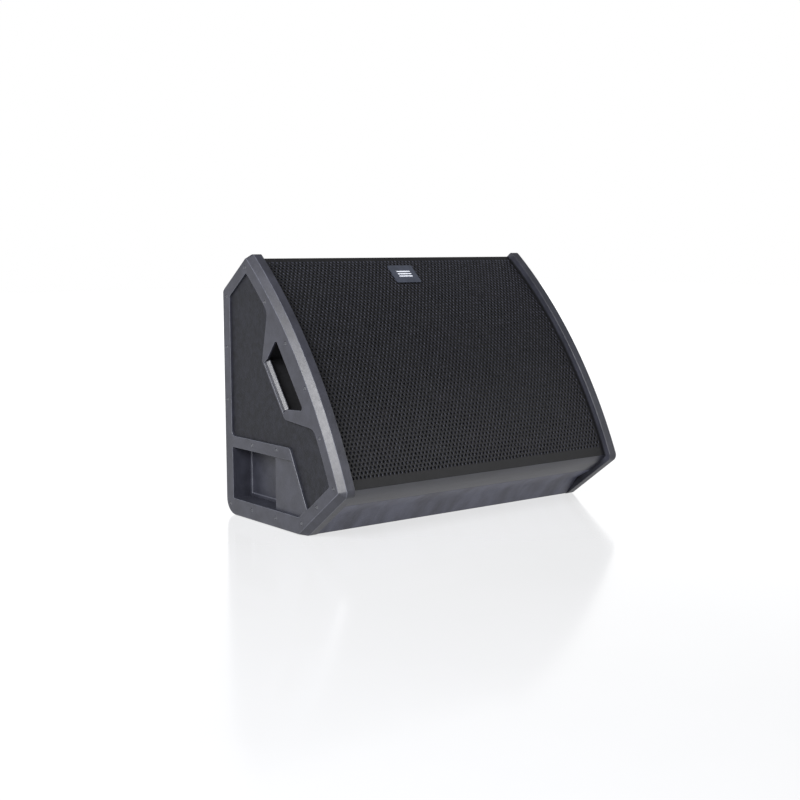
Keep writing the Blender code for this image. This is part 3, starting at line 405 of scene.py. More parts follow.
def skin(shape, rings, worn, marks):
    """Joins rings of equal point counts; marks says how worn each ring is."""
    rows = []
    for ring, mark in zip(rings, marks):
        row = [shape.verts.new(point) for point in ring]
        for vert in row:
            vert[worn] = mark
        rows.append(row)
    count = len(rows[0])
    for lower, upper in zip(rows, rows[1:]):
        for i in range(count):
            j = (i + 1) % count
            shape.faces.new((lower[i], lower[j], upper[j], upper[i]))
    return rows[0], rows[-1]


def fill(shape, loops, normal):
    """Fills a flat face between an outer loop and the loops inside it."""
    edges = []
    for loop in loops:
        for a, b in zip(loop, loop[1:] + loop[:1]):
            edges.append(shape.edges.get((a, b)) or shape.edges.new((a, b)))
    bmesh.ops.triangle_fill(shape, edges=edges, normal=normal, use_beauty=True)


CAP_SCREWS = [Vector(point) for point in (
    (0.1016, 0.4320), (0.0390, 0.3759), (-0.0224, 0.3108), (-0.0784, 0.2423),
    (-0.1182, 0.1659), (-0.1558, 0.0917), (-0.1088, 0.0550), (-0.0629, 0.0213),
    (0.0151, 0.0175), (0.0929, 0.0175), (0.1650, 0.0190), (0.1672, 0.2028),
    (0.1672, 0.2941), (0.1660, 0.3820), (0.0874, 0.1309), (0.0102, 0.1325))]


def end_cap(side, material):
    shape = bmesh.new()
    worn = shape.verts.layers.float.new("worn")

    least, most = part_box("end_cap_left")

    def sunk(depth, point):
        y = min(max(point.x, least.y), most.y)
        return Vector((side * (HALF_WIDTH - depth), y, min(point.y, most.z)))

    full = side_outline(0, 0, 0, 0, 0)
    face = side_outline(CAP_EDGE, CAP_EDGE, CAP_EDGE, CAP_BEVEL, CAP_BEVEL)
    columns = []
    for wide, narrow in zip(full, face):
        fall = min((wide - narrow).length, CAP_BEVEL)
        top, low = sunk(0.0, narrow), sunk(fall, wide)
        into = (top - sunk(0.0, wide)).normalized()
        slope = (low - top).normalized()
        radius = min(EDGE_RADIUS, (low - top).length * 0.45)
        columns.append(curve_between(top + into * radius, top, top + slope * radius)
                       + curve_between(low - slope * radius, low, sunk(fall + radius, wide))
                       + [sunk(CAP_DEPTH - 0.0006, wide)])
    rings = [list(ring) for ring in zip(*columns)]
    inner = side_outline(*[CAP_WALL] * 5)
    rings += [[sunk(CAP_DEPTH, p) for p in side_outline(*[0.0006] * 5)],
              [sunk(CAP_DEPTH, p) for p in inner], [sunk(CAP_PLATE, p) for p in inner]]
    face_loop, under_loop = skin(shape, rings, worn, [0, 1, 1, 0, 0, 1, 1, 0, 0, 0, 0, 0])

    tops, unders = [face_loop], [under_loop]
    for outline in (window_outline(), slot_outline(), bay_outline()):
        out = grown(outline, HOLE_RADIUS)
        columns = [curve_between(sunk(0.0, wide), sunk(0.0, edge), sunk(HOLE_RADIUS, edge))
                   + [sunk(CAP_PLATE, edge)] for wide, edge in zip(out, outline)]
        first, last = skin(shape, [list(r) for r in zip(*columns)], worn, [0, 1, 1, 0, 0])
        tops.append(first)
        unders.append(last)
    for centre in CAP_SCREWS:
        rings = [[sunk(depth, centre + Vector((math.cos(a), math.sin(a))) * radius)
                  for a in (math.tau * i / 16 for i in range(16))]
                 for radius, depth in ((SCREW_HOLE + 0.0003, 0.0), (SCREW_HOLE, 0.0003),
                                       (SCREW_HOLE - 0.0002, SCREW_DEPTH))]
        first, last = skin(shape, rings, worn, [0, 0, 0])
        tops.append(first)
        shape.faces.new(last)
    fill(shape, tops, (side, 0, 0))
    fill(shape, unders, (-side, 0, 0))
    name = "end_cap_" + ("left" if side < 0 else "right")
    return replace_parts(solid(name + "_made", shape, material), name)


# Spark-eroded mould texture: a soft, even sparkle; worn edges turn paler.
cap_abs, tree, shader = finish("moulded_ABS_spark_texture", 0.42)
place, tone = mottle(tree, shader, "#1e1f27", "#292a33", 0.030)
# the texture is 0.1 mm deep grain at 0.3 mm; drawn at 1.3 mm so that it shows
pebble(tree, shader, place, 0.0013, 0.0003, 0.35)
wear = add(tree, "ShaderNodeAttribute", attribute_name="worn")
patch = add(tree, "ShaderNodeTexNoise", {"Vector": place, "Scale": 1 / 0.006, "Detail": 3.0})
amount = add(tree, "ShaderNodeMath", {0: wear.outputs["Fac"], 1: patch.outputs["Fac"]},
             operation="MULTIPLY")
paler = add(tree, "ShaderNodeMix", {"Factor": amount.outputs[0], 6: tone, 7: linear("#5c5e68")},
            data_type="RGBA")
tree.links.new(paler.outputs[2], shader.inputs["Base Color"])
gloss = add(tree, "ShaderNodeMapRange", {0: patch.outputs["Fac"], 3: 0.38, 4: 0.50})
tree.links.new(gloss.outputs[0], shader.inputs["Roughness"])

for side in (-1, 1):
    end_cap(side, cap_abs)


# ----------------------------------------------------- hand cups and grips ----
# The cup is a closed ABS pocket behind the hand slot.  The grip is a soft
# moulded lip, pressed into its seat along the slot's rear edge, a millimetre
# short at both ends.
GRIP_END = 0.0010
GRIP_FLANGE = 0.0040
GRIP_LIP = 0.0065
GRIP_LIP_WALL = 0.0025
GRIP_CHAMFER = 0.0050
GRIP_EASE = 0.0007
FIT = 0.0003

grip_rubber, tree, shader = finish("thermoplastic_rubber_satin", 0.38)
place, _ = mottle(tree, shader, "#1f2027", "#2a2b33", 0.008)
pebble(tree, shader, place, 0.0012, 0.0002, 0.4)


def hand_grip(side):
    shape = bmesh.new()
    edge = SLOT_SETBACK + SLOT_WIDTH + FIT
    back = edge + GRIP_WIDTH - FIT
    deep, soft = FIT + GRIP_CHAMFER, GRIP_EASE
    section = [(GRIP_FLANGE, edge + GRIP_LIP_WALL), (GRIP_LIP, edge + GRIP_LIP_WALL),
               (GRIP_LIP, edge), (deep + soft, edge), (deep, edge + soft * 0.2),
               (deep - soft, edge + soft), (FIT + soft, edge + GRIP_CHAMFER - soft),
               (FIT + soft * 0.2, edge + GRIP_CHAMFER), (FIT, edge + GRIP_CHAMFER + soft),
               (FIT, back - soft), (FIT + soft, back), (GRIP_FLANGE, back)]
    middle = Vector((GRIP_FLANGE, (edge + back) / 2))
    low, high = SLOT_BOTTOM + GRIP_END, SLOT_TOP - GRIP_END
    rows = []
    for along, size in [(low, 0.90), (low + 0.0006, 0.97), (low + 0.0018, 1.0),
                        (high - 0.0018, 1.0), (high - 0.0006, 0.97), (high, 0.90)]:
        row = []
        for depth, inward in section:
            shrunk = middle + (Vector((depth, inward)) - middle) * size
            point = at_front(along, shrunk.y)
            row.append(shape.verts.new((side * (HALF_WIDTH - shrunk.x), point.x, point.y)))
        rows.append(row)
    for lower, upper in zip(rows, rows[1:]):
        for i in range(len(lower)):
            j = (i + 1) % len(lower)
            shape.faces.new((lower[i], lower[j], upper[j], upper[i]))
    shape.faces.new(rows[0])
    shape.faces.new(rows[-1])
    name = "hand_grip_" + ("left" if side < 0 else "right")
    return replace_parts(solid(name + "_made", shape, grip_rubber), name)


cup_black, tree, shader = finish("moulded_ABS_black", 0.5)
place, _ = mottle(tree, shader, "#0c0c0e", "#121215", 0.012)
pebble(tree, shader, place, 0.0013, 0.0002, 0.3)
for side, label in ((-1, "left"), (1, "right")):
    hand_grip(side)
    eased("hand_cup_" + label, 0.0008, cup_black)


# ------------------------------------------------- bay trays, blanking plate ----
# A moulded ABS tray in each bay: a shallow ramp beside a deep square pocket.
# The left pocket is closed by a plain plate with a raised border.
for label in ("left", "right"):
    eased("bay_tray_" + label, 0.0007, cap_abs)
eased("blanking_plate", 0.0008, cap_abs)


# --------------------------------------------------------------- nose trim ----
# A satin ABS strip screwed along the lower front; the grille's foot drops
# behind its top edge.
trim_abs, tree, shader = finish("moulded_ABS_satin", 0.34)
place = add(tree, "ShaderNodeTexCoord").outputs["Object"]
drawn = add(tree, "ShaderNodeMapping", {"Vector": place, "Scale": (0.25, 1.0, 1.0)})
_, tone = mottle(tree, shader, "#191a22", "#24252f", 0.012, drawn.outputs["Vector"])
pebble(tree, shader, place, 0.0013, 0.0002, 0.25)
eased("nose_trim", 0.0010, trim_abs)


# ------------------------------------------------------------------ grille ----
# 1.6 mm steel sheet, punched with 6 mm round holes in staggered rows 8 mm
# apart, rolled to the front's bow, and powder coated black.  The sheet's
# border is plain, wide at the foot and narrow elsewhere.
GRILLE_SETBACK = 0.012
GRILLE_SHEET = 0.0016
HOLE = 0.0029
PITCH = 0.0079
ROW_PITCH = 0.0069
FOOT_BORDER = 0.0185
TOP_BORDER = 0.0065
GRILLE_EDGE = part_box("grille")[1].x

# the coat is thick and glossy on the rolled-over walls of the punched holes; their pale grey is a
# painted glint, drawn lighter than the black coat to stand in for the light the walls catch
glint_walls_painted, tree, shader = finish("powder_coat_glossy_edge", 0.24)
mottle(tree, shader, "#2a2b33", "#4a4b55", 0.0030)
powder_coat, tree, shader = finish("powder_coat_black", 0.46, Specular_IOR_Level=0.28)
place, _ = mottle(tree, shader, "#09090b", "#0e0e11", 0.020)
# orange peel
peel = add(tree, "ShaderNodeTexNoise", {"Vector": place, "Scale": 1 / 0.0016, "Detail": 2.0})
bump = add(tree, "ShaderNodeBump", {"Height": peel.outputs["Fac"], "Distance": 0.0001,
                                    "Strength": 0.5})
tree.links.new(bump.outputs["Normal"], shader.inputs["Normal"])


def punched_tile():
    """One six-sided tile with a round hole; web marks its outer corners."""
    shape = bmesh.new()
    web = shape.verts.layers.float.new("web")
    tall = (ROW_PITCH ** 2 + PITCH ** 2 / 4) / (2 * ROW_PITCH)
    low = (ROW_PITCH ** 2 - PITCH ** 2 / 4) / (2 * ROW_PITCH)
    corners = [(PITCH / 2, low), (0, tall), (-PITCH / 2, low),
               (-PITCH / 2, -low), (0, -tall), (PITCH / 2, -low)]
    outer = [shape.verts.new((x, y, 0)) for x, y in corners]
    for vert in outer:
        vert[web] = 1.0
    hole = [shape.verts.new((HOLE * math.cos(a), HOLE * math.sin(a), 0))
            for a in (math.radians(15 + 30 * i) for i in range(12))]
    for i in range(6):
        near, far = hole[2 * i], hole[2 * i + 1]
        following = hole[(2 * i + 2) % 12]
        shape.faces.new((outer[i], far, near))
        shape.faces.new((outer[i], outer[(i + 1) % 6], following, far))
    bmesh.ops.recalc_face_normals(shape, faces=shape.faces)
    if shape.faces[0].normal.z < 0:
        bmesh.ops.reverse_faces(shape, faces=shape.faces)
    mesh = bpy.data.meshes.new("punched_tile")
    shape.to_mesh(mesh)
    shape.free()
    return mesh


def geometry_tree(name, inputs):
    """An empty node tree that takes geometry and these named (kind, value) inputs."""
    tree = bpy.data.node_groups.new(name, "GeometryNodeTree")
    tree.interface.new_socket("Geometry", in_out="INPUT", socket_type="NodeSocketGeometry")
    for label, kind in inputs:
        tree.interface.new_socket(label, in_out="INPUT", socket_type=kind)
    tree.interface.new_socket("Geometry", in_out="OUTPUT", socket_type="NodeSocketGeometry")
    return tree, add(tree, "NodeGroupInput").outputs, add(tree, "NodeGroupOutput")


def grow(piece, tree, values):
    """Runs a node tree on a piece with these input values."""
    modifier = piece.modifiers.new(tree.name, "NODES")
    modifier.node_group = tree
    for item in tree.interface.items_tree:
        if item.in_out == "INPUT" and item.name in values:
            modifier[item.identifier] = values[item.name]
    return modifier


FLOAT, INT = "NodeSocketFloat", "NodeSocketInt"
punching, given, result = geometry_tree("punched_bowed_sheet", [
    ("Columns", INT), ("Rows", INT), ("Pitch", FLOAT), ("Row Pitch", FLOAT),
    ("First Row", FLOAT), ("Side Edge", FLOAT), ("Foot Edge", FLOAT), ("Top Edge", FLOAT),
    ("Bow Radius", FLOAT), ("Bow Y", FLOAT), ("Bow Z", FLOAT), ("Start Angle", FLOAT),
    ("Coat", "NodeSocketMaterial")])


def reckon(operation, first, second=0.0, third=0.0):
    """One sum in the sheet's tree."""
    return add(punching, "ShaderNodeMath", {0: first, 1: second, 2: third},
               operation=operation).outputs[0]


# rows of points, every other row moved along by half a pitch
span = reckon("MULTIPLY", reckon("SUBTRACT", given["Columns"], 1.0), given["Pitch"])
start_x = reckon("MULTIPLY_ADD", span, -0.5, reckon("MULTIPLY", given["Pitch"], -0.25))
columns = add(punching, "GeometryNodeMeshLine", {
    "Count": given["Columns"],
    "Start Location": add(punching, "ShaderNodeCombineXYZ", {"X": start_x}).outputs[0],
    "Offset": add(punching, "ShaderNodeCombineXYZ", {"X": given["Pitch"]}).outputs[0]})
rows = add(punching, "GeometryNodeMeshLine", {
    "Count": given["Rows"],
    "Start Location": add(punching, "ShaderNodeCombineXYZ", {"Y": given["First Row"]}).outputs[0],
    "Offset": add(punching, "ShaderNodeCombineXYZ", {"Y": given["Row Pitch"]}).outputs[0]})
odd = reckon("MODULO", add(punching, "GeometryNodeInputIndex").outputs[0], 2.0)
stagger = add(punching, "ShaderNodeCombineXYZ",
              {"X": reckon("MULTIPLY", odd, reckon("MULTIPLY", given["Pitch"], 0.5))})
staggered = add(punching, "GeometryNodeSetPosition",
                {"Geometry": rows.outputs[0], "Offset": stagger.outputs[0]})
lattice = add(punching, "GeometryNodeRealizeInstances", {"Geometry": add(
    punching, "GeometryNodeInstanceOnPoints",
    {"Points": staggered.outputs[0], "Instance": columns.outputs[0]}).outputs[0]})
tiles = add(punching, "GeometryNodeRealizeInstances", {"Geometry": add(
    punching, "GeometryNodeInstanceOnPoints",
    {"Points": lattice.outputs[0], "Instance": given["Geometry"]}).outputs[0]})
sheet = add(punching, "GeometryNodeMergeByDistance",
            {"Geometry": tiles.outputs[0], "Distance": 0.00005})
# the outermost corners of the tiles are drawn out to the sheet's straight edges
flat = add(punching, "ShaderNodeSeparateXYZ",
           {0: add(punching, "GeometryNodeInputPosition").outputs[0]})
open_edge = add(punching, "FunctionNodeCompare", {
    "A": reckon("MULTIPLY", 1.0,
                add(punching, "GeometryNodeInputMeshEdgeNeighbors").outputs[0]), "B": 1.5},
    operation="LESS_THAN")
on_rim = add(punching, "GeometryNodeFieldOnDomain", {0: open_edge.outputs[0]},
             domain="EDGE", data_type="FLOAT")
web = add(punching, "GeometryNodeInputNamedAttribute", {"Name": "web"}, data_type="FLOAT")
rim = reckon("MULTIPLY", reckon("GREATER_THAN", on_rim.outputs[0], 0.01),
             reckon("GREATER_THAN", web.outputs[0], 0.5))
near_side = reckon("MULTIPLY", rim, reckon(
    "GREATER_THAN", reckon("ABSOLUTE", flat.outputs["X"]),
    reckon("MULTIPLY_ADD", span, 0.5, reckon("MULTIPLY", given["Pitch"], 0.1))))
edge_x = reckon("MULTIPLY", reckon("SIGN", flat.outputs["X"]), given["Side Edge"])
flat_x = add(punching, "ShaderNodeMix",
             {"Factor": near_side, 2: flat.outputs["X"], 3: edge_x}).outputs[0]
last_row = reckon("MULTIPLY_ADD", reckon("SUBTRACT", given["Rows"], 1.0), given["Row Pitch"],
                  given["First Row"])
near_foot = reckon("MULTIPLY", rim, reckon("LESS_THAN", flat.outputs["Y"], reckon(
    "MULTIPLY_ADD", given["Row Pitch"], -0.1, given["First Row"])))
near_top = reckon("MULTIPLY", rim, reckon("GREATER_THAN", flat.outputs["Y"], reckon(
    "MULTIPLY_ADD", given["Row Pitch"], 0.1, last_row)))
footed = add(punching, "ShaderNodeMix",
             {"Factor": near_foot, 2: flat.outputs["Y"], 3: given["Foot Edge"]}).outputs[0]
flat_y = add(punching, "ShaderNodeMix",
             {"Factor": near_top, 2: footed, 3: given["Top Edge"]}).outputs[0]
squared = add(punching, "GeometryNodeSetPosition", {
    "Geometry": sheet.outputs[0],
    "Position": add(punching, "ShaderNodeCombineXYZ", {"X": flat_x, "Y": flat_y}).outputs[0]})
# the flat sheet is rolled round the bow's axis
turned = reckon("SUBTRACT", given["Start Angle"],
                reckon("DIVIDE", flat.outputs["Y"], given["Bow Radius"]))
bowed = add(punching, "ShaderNodeCombineXYZ", {
    "X": flat.outputs["X"],
    "Y": reckon("MULTIPLY_ADD", reckon("COSINE", turned), given["Bow Radius"], given["Bow Y"]),
    "Z": reckon("MULTIPLY_ADD", reckon("SINE", turned), given["Bow Radius"], given["Bow Z"])})
rolled = add(punching, "GeometryNodeSetPosition",
             {"Geometry": squared.outputs[0], "Position": bowed.outputs[0]})
coated = add(punching, "GeometryNodeSetMaterial",
             {"Geometry": rolled.outputs[0], "Material": given["Coat"]})
punching.links.new(coated.outputs[0], result.inputs[0])

sheet_radius = BOW_RADIUS - GRILLE_SETBACK
foot_angle = bow_angle(meet_bow(toe_line(0.013), GRILLE_SETBACK))
top_angle = bow_angle(meet_bow(ridge_line(0.0025), GRILLE_SETBACK))
sheet_length = (foot_angle - top_angle) * sheet_radius
row_count = int((sheet_length - FOOT_BORDER - TOP_BORDER) / ROW_PITCH) + 1
split = row_count // 4 * 2
for label, first, count in (("lower", 0, split), ("upper", split, row_count - split)):
    piece = bpy.data.objects.new("grille_" + label, punched_tile())
    bpy.context.scene.collection.objects.link(piece)
    first_row = FOOT_BORDER + first * ROW_PITCH
    seam = FOOT_BORDER + (split - 0.5) * ROW_PITCH
    grow(piece, punching, {
        "Columns": int((2 * GRILLE_EDGE - 0.004) / PITCH - 0.5), "Rows": count, "Pitch": PITCH,
        "Row Pitch": ROW_PITCH, "First Row": first_row, "Side Edge": GRILLE_EDGE,
        "Foot Edge": 0.0 if first == 0 else seam,
        "Top Edge": seam if first == 0 else sheet_length,
        "Bow Radius": sheet_radius, "Bow Y": BOW_CENTRE.x, "Bow Z": BOW_CENTRE.y,
        "Start Angle": foot_angle, "Coat": powder_coat})
    thick = piece.modifiers.new("sheet", "SOLIDIFY")
    thick.thickness = GRILLE_SHEET
    thick.offset = -1.0
    bake(piece)
    piece.data.materials.clear()
    piece.data.materials.append(powder_coat)
    piece.data.materials.append(glint_walls_painted)
    # faces that do not look out from the bow, the hole walls and the sheet's cut edges, take the
    # pale coat: a painted glint
    for face in piece.data.polygons:
        outward = Vector((0.0, face.center.y, face.center.z)) - Vector((0.0, *BOW_CENTRE))
        face.material_index = int(abs(face.normal.dot(outward.normalized())) < 0.5)
    piece.data.shade_smooth()
    piece.data.set_sharp_from_angle(angle=math.radians(25))
    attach(piece, "cabinet")
    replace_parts(piece, "grille")


# ------------------------------------------------------------- grille foam ----
# Open-cell acoustic foam glued behind the grille.  It is black, drinks up the
# light, and its cut face is slightly uneven.
foam_black, tree, shader = finish("open_cell_foam_black", 0.95)
place, _ = mottle(tree, shader, "#08080a", "#101013", 0.004)
pebble(tree, shader, place, 0.0012, 0.0008, 1.0)


def uneven_slab(name, point_at, across, up, sag, material):
    """A closed soft slab; point_at(u, v, w) gives its place, w = 0 in front."""
    shape = bmesh.new()
    front, back = [], []
    for j in range(up + 1):
        for i in range(across + 1):
            u, v = i / across, j / up
            rim = min(1.0, 12 * min(u, 1 - u, v, 1 - v))
            dip = sag * (1.0 - rim * (0.35 + 0.65 * noise.noise(Vector((u * 23, v * 19, 0.5)))))
            front.append(shape.verts.new(point_at(u, v, min(max(dip, 0.0), 0.45))))
            back.append(shape.verts.new(point_at(u, v, 1.0)))
    stride = across + 1
    for j in range(up):
        for i in range(across):
            a, b = j * stride + i, j * stride + i + 1
            c, d = b + stride, a + stride
            shape.faces.new((front[a], front[b], front[c], front[d]))
            shape.faces.new((back[d], back[c], back[b], back[a]))
    rim = ([i for i in range(across)] + [across + j * stride for j in range(up)]
           + [up * stride + i for i in range(across, 0, -1)]
           + [j * stride for j in range(up, 0, -1)])
    for a, b in zip(rim, rim[1:] + rim[:1]):
        shape.faces.new((back[a], back[b], front[b], front[a]))
    return solid(name + "_made", shape, material, smooth=60)


foam_low, foam_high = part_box("grille_foam")
foam_front = GRILLE_SETBACK + GRILLE_SHEET + 0.0003
foam_foot = bow_angle(meet_bow(toe_line(0.0223), foam_front))
foam_top = bow_angle(meet_bow(ridge_line(0.0178), foam_front))


def foam_point(u, v, w):
    angle = foam_foot + (foam_top - foam_foot) * v
    reach = BOW_RADIUS - foam_front - 0.006 * w
    return (foam_low.x + (foam_high.x - foam_low.x) * u,
            BOW_CENTRE.x + reach * math.cos(angle), BOW_CENTRE.y + reach * math.sin(angle))


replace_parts(uneven_slab("grille_foam", foam_point, 140, 110, 0.30, foam_black),
            "grille_foam")


# ------------------------------------------------------------------- badge ----
# A small aluminium plate, lacquered blue-black, held on the grille by clips.
# Three plain bars are printed on it in pale grey.
BADGE_HALF, BADGE_HEIGHT, BADGE_SHEET = 0.027, 0.044, 0.0016
badge_lacquer, tree, shader = finish("satin_lacquer_blue_black", 0.30)
place, _ = mottle(tree, shader, "#2b2f39", "#343844", 0.010)
peel = add(tree, "ShaderNodeTexNoise", {"Vector": place, "Scale": 1 / 0.0012})
bump = add(tree, "ShaderNodeBump", {"Height": peel.outputs["Fac"], "Distance": 0.00005})
tree.links.new(bump.outputs["Normal"], shader.inputs["Normal"])
badge_print, tree, shader = finish("screen_print_pale_grey", 0.55)
place, _ = mottle(tree, shader, "#b4b8c2", "#cdd0d8", 0.003)
pebble(tree, shader, place, 0.0008, 0.00004)

badge_angle = bow_angle(meet_bow((at_front(HALF_CHORD - 0.047, 0.0), INWARD), GRILLE_SETBACK))
badge_back = BOW_RADIUS - GRILLE_SETBACK + 0.0003


def badge_plate(name, left, right, low, high, base, top, radius, material):
    """A thin plate with rounded corners, rolled to the grille's bow."""
    shape = bmesh.new()
    corners = [(Vector((left, low)), radius), (Vector((right, low)), radius),
               (Vector((right, high)), radius), (Vector((left, high)), radius)]
    outline = rounded(corners, 4)
    rings = []
    for height, shrink in ((base, 0.0), (top - 0.0002, 0.0), (top, 0.0003)):
        ring = []
        for p in outline:
            mid = Vector(((left + right) / 2, (low + high) / 2))
            q = p - (p - mid).normalized() * shrink
            angle = badge_angle - q.y / badge_back
            ring.append(Vector((q.x, BOW_CENTRE.x + (badge_back + height) * math.cos(angle),
                                BOW_CENTRE.y + (badge_back + height) * math.sin(angle))))
        rings.append([shape.verts.new(point) for point in ring])
    for lower, upper in zip(rings, rings[1:]):
        for i in range(len(lower)):
            j = (i + 1) % len(lower)
            shape.faces.new((lower[i], lower[j], upper[j], upper[i]))
    shape.faces.new(rings[0])
    shape.faces.new(rings[-1])
    return solid(name, shape, material)


plate = badge_plate("badge_plate", -BADGE_HALF, BADGE_HALF, -BADGE_HEIGHT / 2,
                    BADGE_HEIGHT / 2, 0.0, BADGE_SHEET - 0.00012, 0.0025, badge_lacquer)
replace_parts(plate, "badge")
printed = BADGE_SHEET - 0.00018, BADGE_SHEET
for index in range(3):
    low = -0.0080 + index * 0.0060
    badge_plate("badge_bar_%d" % (index + 1), -0.0150, 0.0150, low, low + 0.0030,
                *printed, 0.0005, badge_print)


# ------------------------------------------------------------------ driver ----
# A 15-inch coaxial driver: cast basket, rubber surround, paper cone, copper
# coil, ferrite magnet between zinc-plated plates, and the high driver behind.
def dress(nodes, material):
    """Gives CAD nodes that keep their shape a material."""
    for name in nodes:
        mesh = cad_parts[name].data
        mesh.materials.clear()
        mesh.materials.append(material)


cast_coat, tree, shader = finish("powder_coated_casting", 0.45)
place, _ = mottle(tree, shader, "#1b1c20", "#26272b", 0.012)
pebble(tree, shader, place, 0.0016, 0.0002, 0.4)
dress(["woofer_basket", "hf_rear_cover"], cast_coat)

nitrile, tree, shader = finish("nitrile_rubber", 0.62)
place, _ = mottle(tree, shader, "#141416", "#1c1c1f", 0.010)
pebble(tree, shader, place, 0.0015, 0.0001, 0.3)
dress(["woofer_gasket", "woofer_surround"], nitrile)

pulp, tree, shader = finish("doped_paper_pulp", 0.85)
place, _ = mottle(tree, shader, "#18181a", "#242425", 0.006)
fibres = add(tree, "ShaderNodeTexNoise", {"Vector": place, "Scale": 1 / 0.0015, "Detail": 6.0,
                                          "Distortion": 1.2})
bump = add(tree, "ShaderNodeBump", {"Height": fibres.outputs["Fac"], "Distance": 0.0004})
tree.links.new(bump.outputs["Normal"], shader.inputs["Normal"])
dress(["woofer_cone"], pulp)

spider_cloth, tree, shader = finish("phenolic_cotton_cloth", 0.9)
place, _ = mottle(tree, shader, "#8a6a34", "#a07c40", 0.008)
weave = add(tree, "ShaderNodeTexWave", {"Vector": place, "Scale": 1 / 0.004}, wave_type="BANDS")
bump = add(tree, "ShaderNodeBump", {"Height": weave.outputs["Fac"], "Distance": 0.0003})
tree.links.new(bump.outputs["Normal"], shader.inputs["Normal"])
dress(["woofer_spider"], spider_cloth)

copper_wire, tree, shader = finish("enamelled_copper_wire", 0.30, Metallic=1.0)
place, _ = mottle(tree, shader, "#a4562c", "#c06a3a", 0.004)
turns = add(tree, "ShaderNodeTexWave", {"Vector": place, "Scale": 1 / 0.006},
            wave_type="BANDS", bands_direction="Z")
bump = add(tree, "ShaderNodeBump", {"Height": turns.outputs["Fac"], "Distance": 0.0003})
tree.links.new(bump.outputs["Normal"], shader.inputs["Normal"])
dress(["voice_coil", "toroid_transformer"], copper_wire)

zinc, tree, shader = finish("zinc_plated_steel", 0.30, Metallic=1.0)
place, _ = mottle(tree, shader, "#8f9296", "#a9acb0", 0.009)
brushed = add(tree, "ShaderNodeTexNoise", {"Vector": place, "Scale": 1 / 0.0006})
bump = add(tree, "ShaderNodeBump", {"Height": brushed.outputs["Fac"], "Distance": 0.00003})
tree.links.new(bump.outputs["Normal"], shader.inputs["Normal"])
dress(["top_plate", "pole_yoke", "level_pot"], zinc)

ferrite, tree, shader = finish("sintered_ferrite", 0.66)
place, _ = mottle(tree, shader, "#2b2b2e", "#39393c", 0.005)
pebble(tree, shader, place, 0.0010, 0.0001, 0.5)
dress(["magnet_ring", "compression_driver"], ferrite)

horn_plastic, tree, shader = finish("glass_filled_nylon_black", 0.5)
place, _ = mottle(tree, shader, "#151518", "#1f1f22", 0.010)
pebble(tree, shader, place, 0.0012, 0.0001, 0.3)
dress(["hf_waveguide", "port_tube_left", "port_tube_right"], horn_plastic)


# --------------------------------------------------------------- amplifier ----
# A black anodised extrusion fills the opening in the rear panel and cools the
# amplifier, whose boards stand on a bent aluminium tray inside.
anodised, tree, shader = finish("black_anodised_aluminium", 0.38, Metallic=0.6)
place = add(tree, "ShaderNodeTexCoord").outputs["Object"]
drawn = add(tree, "ShaderNodeMapping", {"Vector": place, "Scale": (1.0, 1.0, 0.03)})
_, tone = mottle(tree, shader, "#1c1d20", "#2b2c30", 0.0012, drawn.outputs["Vector"])
bump = add(tree, "ShaderNodeBump", {"Height": tone, "Distance": 0.0001, "Strength": 0.4})
tree.links.new(bump.outputs["Normal"], shader.inputs["Normal"])
eased("heat_sink", 0.0004, anodised, steps=2)

mill_aluminium, tree, shader = finish("mill_finish_aluminium", 0.34, Metallic=1.0)
place = add(tree, "ShaderNodeTexCoord").outputs["Object"]
drawn = add(tree, "ShaderNodeMapping", {"Vector": place, "Scale": (0.04, 1.0, 1.0)})
_, tone = mottle(tree, shader, "#9a9da1", "#b0b3b6", 0.0015, drawn.outputs["Vector"])
bump = add(tree, "ShaderNodeBump", {"Height": tone, "Distance": 0.00005, "Strength": 0.4})
tree.links.new(bump.outputs["Normal"], shader.inputs["Normal"])
dress(["amp_chassis"], mill_aluminium)

laminate, tree, shader = finish("solder_masked_laminate", 0.36)
place = add(tree, "ShaderNodeTexCoord").outputs["Object"]
tracks = add(tree, "ShaderNodeTexBrick", {
    "Vector": place, "Scale": 1 / 0.05, "Color1": linear("#12502c"), "Color2": linear("#176036"),
    "Mortar": linear("#2c8a55"), "Mortar Size": 0.03})
tree.links.new(tracks.outputs["Color"], shader.inputs["Base Color"])
bump = add(tree, "ShaderNodeBump", {"Height": tracks.outputs["Fac"], "Distance": 0.00005})
tree.links.new(bump.outputs["Normal"], shader.inputs["Normal"])
dress(["power_board", "amp_board", "signal_board"], laminate)

sleeve, tree, shader = finish("heat_shrunk_PVC_sleeve", 0.28)
place, _ = mottle(tree, shader, "#10131c", "#191d2a", 0.008)
pebble(tree, shader, place, 0.004, 0.0001, 0.2)
dress(["smoothing_capacitor_1", "smoothing_capacitor_2"], sleeve)

# Loose polyester felt, stapled to the rear panel to deaden the box.
felt, tree, shader = finish("polyester_felt", 0.98, Sheen_Weight=0.3)
place, _ = mottle(tree, shader, "#c9c8c0", "#dedcd4", 0.012)
fibres = add(tree, "ShaderNodeTexNoise", {"Vector": place, "Scale": 1 / 0.002, "Detail": 6.0,
                                          "Distortion": 2.0})
bump = add(tree, "ShaderNodeBump", {"Height": fibres.outputs["Fac"], "Distance": 0.001})
tree.links.new(bump.outputs["Normal"], shader.inputs["Normal"])
felt_low, felt_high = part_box("damping_wadding")


def felt_point(u, v, w):
    """The felt's loose face looks forward, so w = 0 is its front."""
    return (felt_low.x + (felt_high.x - felt_low.x) * u,
            felt_low.y + (felt_high.y - felt_low.y) * w,
            felt_low.z + (felt_high.z - felt_low.z) * v)


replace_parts(uneven_slab("damping_wadding", felt_point, 90, 30, 0.35, felt),
            "damping_wadding")


